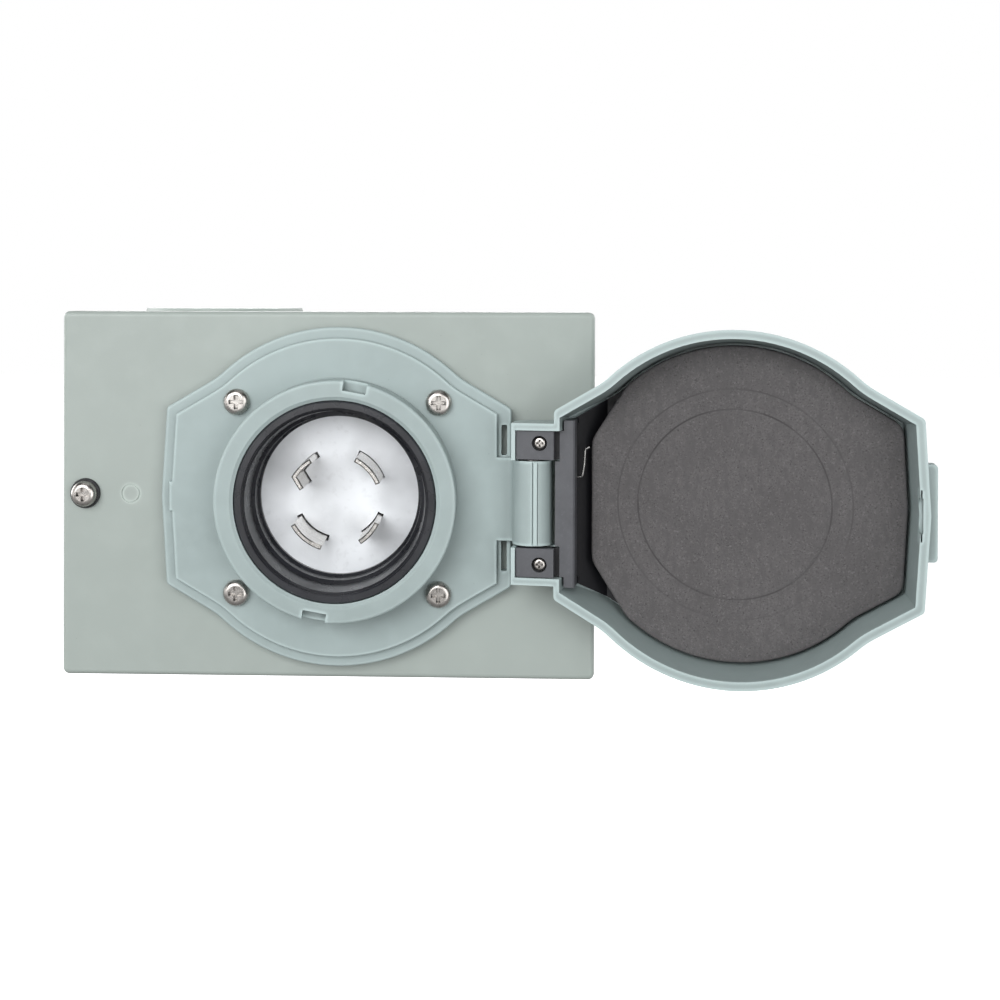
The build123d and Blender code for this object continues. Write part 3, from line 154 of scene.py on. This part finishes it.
MIRROR_LOWEST = 0.25  # what polished metal mirrors, straight down
MIRROR_HIGHEST = 0.02  # and straight up
MIRROR_BANDS = ((0.38, 0.45), (0.5, 0.75), (0.6, 0.42), (0.7, 0.06))  # height, brightness
CAMERA_PLACE = (49.21 * MM, COVER_FRONT - 499.76 * MM, 63.40 * MM)
CAMERA_YAW = -0.0386
CAMERA_PITCH = -0.0073
CAMERA_ROLL = 0.0026
CAMERA_FOCAL = 56.234  # mm, on a sensor of the next line's width
CAMERA_SENSOR = 36.0
CAMERA_SHIFT = (0.07938, -0.19103)
CAMERA_CLIP = 0.01


# ---------------------------------------------------------------- materials
class Surface:
    """A procedural material, built as a chain of colour, roughness and bump nodes."""

    def __init__(self, name, colour, roughness, metallic=0.0):
        self.material = bpy.data.materials.new(name)
        self.material.use_nodes = True
        self.nodes = self.material.node_tree.nodes
        self.links = self.material.node_tree.links
        self.shader = self.nodes["Principled BSDF"]
        self.shader.inputs["Base Color"].default_value = (*colour, 1.0)
        self.shader.inputs["Roughness"].default_value = roughness
        self.shader.inputs["Metallic"].default_value = metallic
        self.place = self.nodes.new("ShaderNodeTexCoord").outputs["Object"]

    def noise(self, size, detail=3.0, rough=0.5, stretch=None, distortion=0.0):
        """Smooth noise whose features are about this size, smaller along a stretched axis."""
        node = self.nodes.new("ShaderNodeTexNoise")
        node.inputs["Scale"].default_value = 1.0 / size
        node.inputs["Detail"].default_value = detail
        node.inputs["Roughness"].default_value = rough
        node.inputs["Distortion"].default_value = distortion
        vector = self.place
        if stretch:
            mapping = self.nodes.new("ShaderNodeMapping")
            mapping.inputs["Scale"].default_value = stretch
            self.links.new(self.place, mapping.inputs["Vector"])
            vector = mapping.outputs["Vector"]
        self.links.new(vector, node.inputs["Vector"])
        return node.outputs["Fac"]

    def cells(self, spacing):
        """Distance to scattered points about this far apart, as a share of the spacing."""
        node = self.nodes.new("ShaderNodeTexVoronoi")
        node.inputs["Scale"].default_value = 1.0 / spacing
        self.links.new(self.place, node.inputs["Vector"])
        return node.outputs["Distance"]

    def occlusion(self, distance, inside):
        """How open the surface is, seen from outside or from within the body."""
        node = self.nodes.new("ShaderNodeAmbientOcclusion")
        node.samples = OCCLUSION_SAMPLES
        node.inside = inside
        node.only_local = True
        node.inputs["Distance"].default_value = distance
        return node.outputs["AO"]

    def crevices(self, distance):
        """A mask of the recesses about this wide."""
        return self.ramp(self.occlusion(distance, False), *CREVICE_RANGE)

    def edges(self, distance):
        """A mask of the outward edges, fading out within this distance of them."""
        return self.ramp(self.occlusion(distance, True), *EDGE_RANGE)

    def vector_math(self, operation, vector, other=None):
        """One step of vector arithmetic, with a constant as its second value."""
        node = self.nodes.new("ShaderNodeVectorMath")
        node.operation = operation
        if other is not None:
            node.inputs[1].default_value = other
        self.links.new(vector, node.inputs[0])
        return node.outputs

    def from_lid_centre(self):
        """Distance from the line through the lid's middle, square to its rim."""
        offset = self.vector_math("SUBTRACT", self.place, lid_point(0, 0, 0))["Vector"]
        aside = self.vector_math("CROSS_PRODUCT", offset, INTO_LID)["Vector"]
        return self.vector_math("LENGTH", aside)["Value"]

    def from_hinge(self, direction):
        """Distance from the hinge axis in this direction."""
        offset = self.vector_math("SUBTRACT", self.place, HINGE)["Vector"]
        return self.vector_math("DOT_PRODUCT", offset, direction)["Value"]

    def both(self, mask, other):
        """A mask that is 1 only where both of these are."""
        node = self.nodes.new("ShaderNodeMath")
        node.operation = "MULTIPLY"
        self.links.new(mask, node.inputs[0])
        self.links.new(other, node.inputs[1])
        return node.outputs["Value"]

    def near(self, value, middle, width):
        """A mask that is 1 close to where the value is the middle, and 0 this far from it."""
        offset = self.nodes.new("ShaderNodeMath")
        offset.operation = "SUBTRACT"
        offset.inputs[1].default_value = middle
        self.links.new(value, offset.inputs[0])
        size = self.nodes.new("ShaderNodeMath")
        size.operation = "ABSOLUTE"
        self.links.new(offset.outputs["Value"], size.inputs[0])
        return self.ramp(size.outputs["Value"], width, LINE_CORE * width)

    def ramp(self, value, low, high, start=0.0, end=1.0):
        """Maps low..high of a value to start..end, clamped."""
        node = self.nodes.new("ShaderNodeMapRange")
        node.inputs["From Min"].default_value = low
        node.inputs["From Max"].default_value = high
        node.inputs["To Min"].default_value = start
        node.inputs["To Max"].default_value = end
        self.links.new(value, node.inputs["Value"])
        return node.outputs["Result"]

    def tint(self, colour, mask):
        """Mixes this colour over what the base colour is so far, by the mask."""
        base = self.shader.inputs["Base Color"]
        node = self.nodes.new("ShaderNodeMix")
        node.data_type = "RGBA"
        below, above = node.inputs[6], node.inputs[7]  # its colour sockets share their names
        if base.is_linked:
            self.links.new(base.links[0].from_socket, below)
        else:
            below.default_value = base.default_value
        above.default_value = (*colour, 1.0)
        self.links.new(mask, node.inputs["Factor"])
        self.links.new(node.outputs[2], base)

    def patches(self, colour, size, low, high, amount=1.0, **noise):
        """Patches of a colour where noise of this size rises from low to high."""
        self.tint(colour, self.ramp(self.noise(size, **noise), low, high, 0.0, amount))

    def specks(self, colour, spacing, outer, inner, amount):
        """Scattered specks of a colour; their radii are shares of the spacing."""
        self.tint(colour, self.ramp(self.cells(spacing), outer, inner, 0.0, amount))

    def gloss(self, size, low, high, **noise):
        """Roughness that drifts between low and high."""
        value = self.ramp(self.noise(size, **noise), *GLOSS_RANGE, low, high)
        self.links.new(value, self.shader.inputs["Roughness"])

    def bump(self, height, distance, strength):
        """Adds relief of about this height in metres."""
        node = self.nodes.new("ShaderNodeBump")
        node.inputs["Strength"].default_value = strength
        node.inputs["Distance"].default_value = distance
        normal = self.shader.inputs["Normal"]
        if normal.is_linked:
            self.links.new(normal.links[0].from_socket, node.inputs["Normal"])
        self.links.new(height, node.inputs["Height"])
        self.links.new(node.outputs["Normal"], normal)

    def grain(self, size, height, strength, **noise):
        """Fine relief from noise of this size."""
        self.bump(self.noise(size, **noise), height, strength)


def scaled(colour, factor):
    """The same hue, lighter or darker."""
    return tuple(min(1.0, c * factor) for c in colour)


def steel_paint():
    """Sage grey powder coat: faint orange peel, soft tone drift, a few dust specks and scuffs, and painted
    highlights along its edges.
    """
    colour = (0.352, 0.398, 0.374)
    s = Surface("steel_paint", colour, 0.42)
    s.patches(scaled(colour, 0.93), size=70 * MM, low=0.35, high=0.7, detail=2)
    s.patches(scaled(colour, 1.05), size=9 * MM, low=0.45, high=0.75, amount=0.6, detail=4)
    s.specks(scaled(colour, 0.55), spacing=5.5 * MM, outer=0.035, inner=0.02, amount=0.5)
    s.patches(scaled(colour, 1.35), size=3 * MM, low=0.715, high=0.75, amount=0.5,
              detail=6, rough=0.7, stretch=(1, 1, 7))
    # painted highlight along the outward edges
    s.tint(scaled(colour, 1.3), s.edges(1.3 * MM))
    s.gloss(size=4 * MM, low=0.36, high=0.5)
    s.grain(size=0.9 * MM, height=0.025 * MM, strength=0.6, detail=2)
    s.grain(size=6 * MM, height=0.05 * MM, strength=0.35, detail=2)
    return s


def sage_plastic():
    """Moulded plastic: faint flow marks, a fine satin grain, a few pale rubs, painted shade in its recesses and
    painted highlights along its edges.
    """
    colour = (0.335, 0.405, 0.402)
    s = Surface("sage_plastic", colour, 0.4)
    s.patches(scaled(colour, 0.92), size=45 * MM, low=0.38, high=0.68,
              stretch=(1, 1, 2.2), distortion=0.6)
    s.patches(scaled(colour, 1.06), size=6 * MM, low=0.45, high=0.8, amount=0.7, detail=4)
    s.patches(scaled(colour, 1.4), size=2.4 * MM, low=0.70, high=0.76, amount=0.55,
              detail=7, rough=0.72, stretch=(9, 1, 1))
    s.specks(scaled(colour, 0.5), spacing=7 * MM, outer=0.028, inner=0.016, amount=0.5)
    # painted shade in the recesses
    s.tint(scaled(colour, 0.72), s.crevices(0.8 * MM))
    # painted highlight along the outward edges
    s.tint(scaled(colour, 1.34), s.edges(1.3 * MM))
    s.gloss(size=3 * MM, low=0.33, high=0.48, detail=4)
    s.grain(size=0.35 * MM, height=0.012 * MM, strength=0.5, detail=2)
    s.grain(size=9 * MM, height=0.05 * MM, strength=0.3, detail=2)
    return s


def black_plastic():
    """Glossy black nylon with dust and fine handling scratches."""
    colour = (0.018, 0.019, 0.023)
    scratch = (0.11, 0.114, 0.122)
    dust = (0.30, 0.31, 0.33)
    s = Surface("black_plastic", colour, 0.26)
    s.patches(scaled(colour, 1.5), size=14 * MM, low=0.4, high=0.75)
    s.patches(scratch, size=1.1 * MM, low=0.70, high=0.76, amount=0.6,
              detail=8, rough=0.75, stretch=(1, 3, 1))
    s.specks(dust, spacing=4.5 * MM, outer=0.04, inner=0.02, amount=0.45)
    s.gloss(size=6 * MM, low=0.24, high=0.34)
    s.grain(size=0.5 * MM, height=0.008 * MM, strength=0.4)
    return s


def dark_nylon():
    """Nylon of the hinge cap: grey on its raised faces, with painted shade that turns it black in its neck and
    deeper in the lid.
    """
    colour = (0.100, 0.103, 0.113)
    s = Surface("dark_nylon", colour, 0.5)
    s.patches(scaled(colour, 0.78), size=7 * MM, low=0.4, high=0.7, amount=0.8, detail=4)
    s.patches(scaled(colour, 1.3), size=1.2 * MM, low=0.55, high=0.75, amount=0.7,
              detail=6, rough=0.7)
    s.patches(scaled(colour, 2.0), size=1.0 * MM, low=0.69, high=0.76, amount=0.5,
              detail=8, rough=0.75, stretch=(5, 5, 1))
    # painted shade: black in the neck and deeper than the bar, where the cap lies in shadow
    depth = s.from_hinge(INTO_LID)
    below_pads = s.ramp(depth, NECK_DEPTH, NECK_DEPTH + SHADE_FADE)
    before_bar = s.ramp(s.from_hinge(ALONG_LID), NECK_END, NECK_END - SHADE_FADE)
    s.tint(PAINTED_SHADE_BLACK, s.both(below_pads, before_bar))
    s.tint(PAINTED_SHADE_BLACK, s.ramp(depth, SHADE_DEPTH, SHADE_DEPTH + 2 * SHADE_FADE))
    # painted shade in the cap's recesses
    s.tint(scaled(colour, 0.15), s.crevices(0.7 * MM))
    s.gloss(size=1.5 * MM, low=0.42, high=0.6, detail=4)
    s.grain(size=0.3 * MM, height=0.02 * MM, strength=0.6)
    s.shader.inputs["Specular IOR Level"].default_value = 0.35
    return s


def white_plastic():
    """White thermoset face with cloudy grey patches painted as soft reflections, and faint dust."""
    colour = (0.86, 0.89, 0.925)
    s = Surface("white_plastic", colour, 0.42)
    # painted reflection: cloudy grey patches standing in for soft reflections on the face
    s.patches(scaled(colour, 0.74), size=15 * MM, low=0.46, high=0.66, amount=0.7,
              detail=2, rough=0.4)
    s.patches(scaled(colour, 0.88), size=2 * MM, low=0.55, high=0.8, detail=5)
    s.specks(scaled(colour, 0.45), spacing=4 * MM, outer=0.03, inner=0.015, amount=0.4)
    s.gloss(size=3 * MM, low=0.36, high=0.5)
    s.grain(size=0.7 * MM, height=0.012 * MM, strength=0.5, detail=2)
    return s


def bright_metal(name, colour, low, high, grain, stretch=(1, 1, 1)):
    """Plated metal with draw marks along one axis, darker tarnish in patches and painted shade in its recesses."""
    s = Surface(name, colour, (low + high) / 2, 1.0)
    s.patches(scaled(colour, 0.72), size=2.2 * MM, low=0.5, high=0.75, detail=4)
    # painted shade in the recesses, such as the screw heads' cross slots
    s.tint(scaled(colour, 0.12), s.crevices(0.8 * MM))
    s.patches(scaled(colour, 0.45), size=grain * 5, low=0.6, high=0.75, amount=0.6,
              detail=5, rough=0.6, stretch=stretch)
    s.gloss(size=grain * 3, low=low, high=high, detail=4, rough=0.6, stretch=stretch)
    s.grain(size=grain, height=0.01 * MM, strength=0.6, rough=0.6, stretch=stretch)
    return s


def green_screw():
    """Green dyed zinc of the earth screw."""
    colour = (0.04, 0.26, 0.10)
    s = Surface("green_screw", colour, 0.32, 0.85)
    s.patches(scaled(colour, 0.6), size=1.6 * MM, low=0.45, high=0.7, detail=4)
    s.gloss(size=0.8 * MM, low=0.25, high=0.45, detail=4)
    s.grain(size=0.4 * MM, height=0.01 * MM, strength=0.5)
    return s


def black_rubber():
    """Matt rubber with a light bloom."""
    colour = (0.022, 0.022, 0.024)
    s = Surface("black_rubber", colour, 0.75)
    s.patches(scaled(colour, 2.4), size=1.5 * MM, low=0.45, high=0.8, detail=5)
    s.gloss(size=1.0 * MM, low=0.62, high=0.85)
    s.grain(size=0.3 * MM, height=0.02 * MM, strength=0.6)
    return s


def eva_foam():
    """Closed-cell foam: fine cut cells, pale and dark flecks, and painted shade along the collar's two pressed
    lines.
    """
    colour = (0.112, 0.107, 0.109)
    s = Surface("eva_foam", colour, 0.95)
    s.patches(scaled(colour, 0.62), size=16 * MM, low=0.42, high=0.72, amount=0.45,
              detail=4, rough=0.55)
    s.patches(scaled(colour, 1.5), size=0.7 * MM, low=0.52, high=0.70, amount=0.9,
              detail=4, rough=0.7)
    s.patches(scaled(colour, 0.34), size=0.55 * MM, low=0.54, high=0.70, amount=0.9,
              detail=4, rough=0.7)
    s.patches(scaled(colour, 0.85), size=2.2 * MM, low=0.45, high=0.7, stretch=(1.2, 1.2, 0.6))
    radius = s.from_lid_centre()
    patchy = s.ramp(s.noise(24 * MM, detail=2), 0.38, 0.6, 0.35, 1.0)
    # painted shade along the grooves of the two pressed lines, patchy around the ring
    for line, tone in ((IMPRINT_INNER, INNER_LINE_SHADE), (IMPRINT_OUTER, OUTER_LINE_SHADE)):
        s.tint(scaled(colour, tone), s.both(s.near(radius, line, GROOVE_WIDTH), patchy))
    s.gloss(size=1.2 * MM, low=0.86, high=1.0)
    s.bump(s.cells(0.38 * MM), 0.07 * MM, 0.75)
    s.grain(size=1.3 * MM, height=0.08 * MM, strength=0.5, detail=4, rough=0.6)
    s.shader.inputs["Specular IOR Level"].default_value = 0.3
    return s


def finish_nodes():
    """Gives every CAD node the material of its slot in the record, and returns the materials."""
    blade_colour = (0.80, 0.775, 0.74)
    screw_colour = (0.50, 0.475, 0.45)
    zinc_colour = (0.62, 0.64, 0.66)
    spring_colour = (0.27, 0.265, 0.26)
    along_blade = (1.0, 0.12, 1.0)
    along_wire = (1.0, 1.0, 0.3)
    surfaces = {
        "steel_paint": steel_paint(),
        "sage_plastic": sage_plastic(),
        "black_plastic": black_plastic(),
        "dark_nylon": dark_nylon(),
        "white_plastic": white_plastic(),
        "nickel_blade": bright_metal("nickel_blade", blade_colour, 0.14, 0.3, 0.2 * MM, along_blade),
        "screw_steel": bright_metal("screw_steel", screw_colour, 0.22, 0.34, 0.5 * MM),
        "zinc_steel": bright_metal("zinc_steel", zinc_colour, 0.28, 0.45, 0.25 * MM),
        "spring_steel": bright_metal("spring_steel", spring_colour, 0.2, 0.34, 0.12 * MM, along_wire),
        "green_screw": green_screw(),
        "black_rubber": black_rubber(),
        "eva_foam": eva_foam(),
    }
    for entry in frame["record"]["subparts"]:
        node = frame["nodes"][entry["node"]]
        node.data.materials.clear()
        node.data.materials.append(surfaces[entry["material_slot"]].material)
    return {name: surface.material for name, surface in surfaces.items()}


# ---------------------------------------------------------------- foam pad
def foam_reach(angle):
    """Distance from the lid's middle to the pad's edge in this direction; +x is the hinge."""
    c, s = math.cos(angle), abs(math.sin(angle))
    slope_c, slope_s = math.cos(SHOULDER_SLOPE), math.sin(SHOULDER_SLOPE)
    if s * slope_s > abs(c) * slope_c:  # beyond the shoulders' feet the pad is round
        shoulder = 0.0
    else:
        shoulder = FOAM_SHOULDER / (abs(c) * slope_s + s * slope_c)
    if c > 0:
        dx, dz = FOAM_CHAMFER_X - FOAM_NEAR_X, FOAM_CHAMFER_Z - FOAM_NEAR_HALF
        corner = (FOAM_NEAR_X * dz - FOAM_NEAR_HALF * dx) / (c * dz - s * dx)
        edge = min(corner, FOAM_NEAR_X / c)
        return min(edge, max(FOAM_ROUND, shoulder))
    edge = FOAM_FAR_X / (FOAM_FAR_LEAN * s - c)
    return max(FOAM_ROUND, min(shoulder, edge))


def smooth_step(value):
    """Rises smoothly from 0 to 1 as the value goes from 0 to 1."""
    value = min(1.0, max(0.0, value))
    return value * value * (3 - 2 * value)


def foam_relief(radius, angle):
    """How deep the face lies at this radius: the collar's imprint, with two crisp edges."""
    ring = smooth_step((radius - IMPRINT_INNER) / INNER_STEP)
    ring -= smooth_step((radius - IMPRINT_OUTER + OUTER_STEP / 2) / OUTER_STEP)
    inner = math.exp(-(((radius - IMPRINT_INNER) / GROOVE_WIDTH) ** 2))
    outer = math.exp(-(((radius - IMPRINT_OUTER) / GROOVE_WIDTH) ** 2))
    uneven = 1.0 + 0.25 * math.sin(angle * 2 + 0.7) + 0.12 * math.sin(angle * 5)
    shares = RING_SHARE * ring + INNER_GROOVE_SHARE * inner + OUTER_GROOVE_SHARE * outer
    return IMPRINT_DEPTH * uneven * shares


def lid_point(x, z, depth):
    """A point in the lid: x from its middle towards the hinge, depth from its rim."""
    return HINGE + ALONG_LID * (HINGE_TO_CENTRE - x) + INTO_LID * (depth - AXIS_IN_LID) + UP * z


def foam_outline(angles):
    """The pad's reach at each angle, with its corners eased."""
    reaches = [foam_reach(a) for a in angles]
    for _ in range(OUTLINE_SMOOTHINGS):
        reaches = [
            (reaches[k - 1] + 2 * reaches[k] + reaches[(k + 1) % FOAM_STEPS]) / 4
            for k in range(FOAM_STEPS)
        ]
    return reaches


def foam_pad(material):
    """The die-cut pad: a polar mesh with a rounded face edge, straight sides and a flat back."""
    angles = [2 * math.pi * k / FOAM_STEPS for k in range(FOAM_STEPS)]
    reaches = foam_outline(angles)
    rings = COARSE_RINGS + FINE_RINGS
    mesh = bmesh.new()

    def on_face(radius, angle):
        depth = FOAM_FACE + foam_relief(radius, angle)
        return mesh.verts.new(lid_point(radius * math.cos(angle), radius * math.sin(angle), depth))

    middle = mesh.verts.new(lid_point(0, 0, FOAM_FACE))
    rows = []
    for radius in rings:
        rows.append([
            on_face(min(radius, reach - EDGE_ROUND - EDGE_MARGIN), a)
            for a, reach in zip(angles, reaches)
        ])
    for share in EDGE_SHARES:
        row = []
        for a, reach in zip(angles, reaches):
            start = min(rings[-1], reach - EDGE_ROUND - EDGE_MARGIN)
            row.append(on_face(start + (reach - EDGE_ROUND - start) * share, a))
        rows.append(row)
    for turn in EDGE_TURNS:
        inset = EDGE_ROUND * (1 - math.sin(math.radians(turn)))
        depth = FOAM_FACE + EDGE_ROUND * (1 - math.cos(math.radians(turn)))
        rows.append([
            mesh.verts.new(lid_point((reach - inset) * math.cos(a), (reach - inset) * math.sin(a), depth))
            for a, reach in zip(angles, reaches)
        ])
    for depth in SIDE_DEPTHS:
        bevel = FOAM_NEAR_X - max(0.0, depth - BEVEL_START) * BEVEL_SLOPE
        rows.append([
            mesh.verts.new(lid_point(min(reach * math.cos(a), bevel), reach * math.sin(a), depth))
            for a, reach in zip(angles, reaches)
        ])
    back = mesh.verts.new(lid_point(0, 0, FOAM_BACK))
    for k in range(FOAM_STEPS):
        following = (k + 1) % FOAM_STEPS
        mesh.faces.new((middle, rows[0][following], rows[0][k]))
        for inner, outer in zip(rows, rows[1:]):
            mesh.faces.new((inner[k], inner[following], outer[following], outer[k]))
        mesh.faces.new((back, rows[-1][k], rows[-1][following]))
    bmesh.ops.remove_doubles(mesh, verts=mesh.verts, dist=SAME_POINT)
    bmesh.ops.recalc_face_normals(mesh, faces=mesh.faces)
    data = bpy.data.meshes.new("foam_pad")
    mesh.to_mesh(data)
    mesh.free()
    for face in data.polygons:
        face.use_smooth = True
    pad = bpy.data.objects.new("foam_pad", data)
    bpy.context.scene.collection.objects.link(pad)
    data.materials.append(material)
    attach(pad, "lid")
    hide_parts("lid_foam_pad")


# ---------------------------------------------------------------- studio
def studio_floor():
    """A pale floor far below; it lights nothing, so the box keeps its studio shading."""
    lowest = cad_box[0].z - FLOOR_DROP
    corners = [
        (-FLOOR_HALF, -FLOOR_HALF, lowest),
        (FLOOR_HALF, -FLOOR_HALF, lowest),
        (FLOOR_HALF, FLOOR_HALF, lowest),
        (-FLOOR_HALF, FLOOR_HALF, lowest),
    ]
    data = bpy.data.meshes.new("studio_floor")
    data.from_pydata(corners, [], [(0, 1, 2, 3)])
    floor = bpy.data.objects.new("studio_floor", data)
    bpy.context.scene.collection.objects.link(floor)
    s = Surface("pale_floor", (0.92, 0.92, 0.92), 0.8)
    s.patches((0.90, 0.90, 0.90), size=0.4, low=0.3, high=0.7, detail=2)
    s.shader.inputs["Emission Color"].default_value = (1, 1, 1, 1)
    s.shader.inputs["Emission Strength"].default_value = FLOOR_GLOW
    data.materials.append(s.material)
    floor.visible_diffuse = False
    floor.visible_glossy = False


def area_light(name, place, aim, size, power):
    """A soft rectangular light that points from its place at the aim."""
    data = bpy.data.lights.new(name, "AREA")
    data.shape = "RECTANGLE"
    data.size, data.size_y = size
    data.energy = power
    lamp = bpy.data.objects.new(name, data)
    bpy.context.scene.collection.objects.link(lamp)
    lamp.location = place
    lamp.rotation_euler = (Vector(aim) - Vector(place)).to_track_quat("-Z", "Y").to_euler()


def studio_world():
    """White to the camera, a soft grey light on the box, and banded where metal mirrors it."""
    world = bpy.data.worlds.new("studio")
    bpy.context.scene.world = world
    world.use_nodes = True
    nodes, links = world.node_tree.nodes, world.node_tree.links
    background = nodes["Background"]
    background.inputs["Color"].default_value = (1, 1, 1, 1)
    seen = nodes.new("ShaderNodeLightPath")
    direction = nodes.new("ShaderNodeTexCoord")
    split = nodes.new("ShaderNodeSeparateXYZ")
    mirrored = nodes.new("ShaderNodeValToRGB")
    bands = mirrored.color_ramp.elements
    bands[0].position, bands[1].position = 0.0, 1.0
    bands[0].color = (MIRROR_LOWEST, MIRROR_LOWEST, MIRROR_LOWEST, 1)
    bands[1].color = (MIRROR_HIGHEST, MIRROR_HIGHEST, MIRROR_HIGHEST, 1)
    for position, level in MIRROR_BANDS:
        bands.new(position).color = (level, level, level, 1)
    height = nodes.new("ShaderNodeMapRange")
    height.inputs["From Min"].default_value = -1.0
    lighting = nodes.new("ShaderNodeMix")
    lighting.inputs["A"].default_value = AMBIENT
    strength = nodes.new("ShaderNodeMix")
    strength.inputs["B"].default_value = 1.0
    links.new(direction.outputs["Generated"], split.inputs["Vector"])
    links.new(split.outputs["Z"], height.inputs["Value"])
    links.new(height.outputs["Result"], mirrored.inputs["Fac"])
    links.new(mirrored.outputs["Color"], lighting.inputs["B"])
    links.new(seen.outputs["Is Glossy Ray"], lighting.inputs["Factor"])
    links.new(lighting.outputs["Result"], strength.inputs["A"])
    links.new(seen.outputs["Is Camera Ray"], strength.inputs["Factor"])
    links.new(strength.outputs["Result"], background.inputs["Strength"])


def studio_camera():
    """Looks squarely at the cover from in front, as a product photograph does."""
    data = bpy.data.cameras.new("camera")
    data.lens = CAMERA_FOCAL
    data.sensor_width = CAMERA_SENSOR
    data.shift_x, data.shift_y = CAMERA_SHIFT
    data.clip_start = CAMERA_CLIP
    camera = bpy.data.objects.new("camera", data)
    bpy.context.scene.collection.objects.link(camera)
    ahead = Vector((
        math.sin(CAMERA_YAW) * math.cos(CAMERA_PITCH),
        math.cos(CAMERA_YAW) * math.cos(CAMERA_PITCH),
        math.sin(CAMERA_PITCH),
    ))
    level = Vector((math.cos(CAMERA_YAW), -math.sin(CAMERA_YAW), 0.0))
    upward = level.cross(ahead)
    right = level * math.cos(CAMERA_ROLL) + upward * math.sin(CAMERA_ROLL)
    upward = right.cross(ahead)
    turn = Matrix((right, upward, -ahead)).transposed().to_4x4()
    camera.matrix_world = Matrix.Translation(CAMERA_PLACE) @ turn
    bpy.context.scene.camera = camera


materials = finish_nodes()
foam_pad(materials["eva_foam"])
studio_floor()
for light in LIGHTS:
    area_light(*light)
studio_world()
studio_camera()
bpy.context.scene.view_settings.view_transform = "Standard"
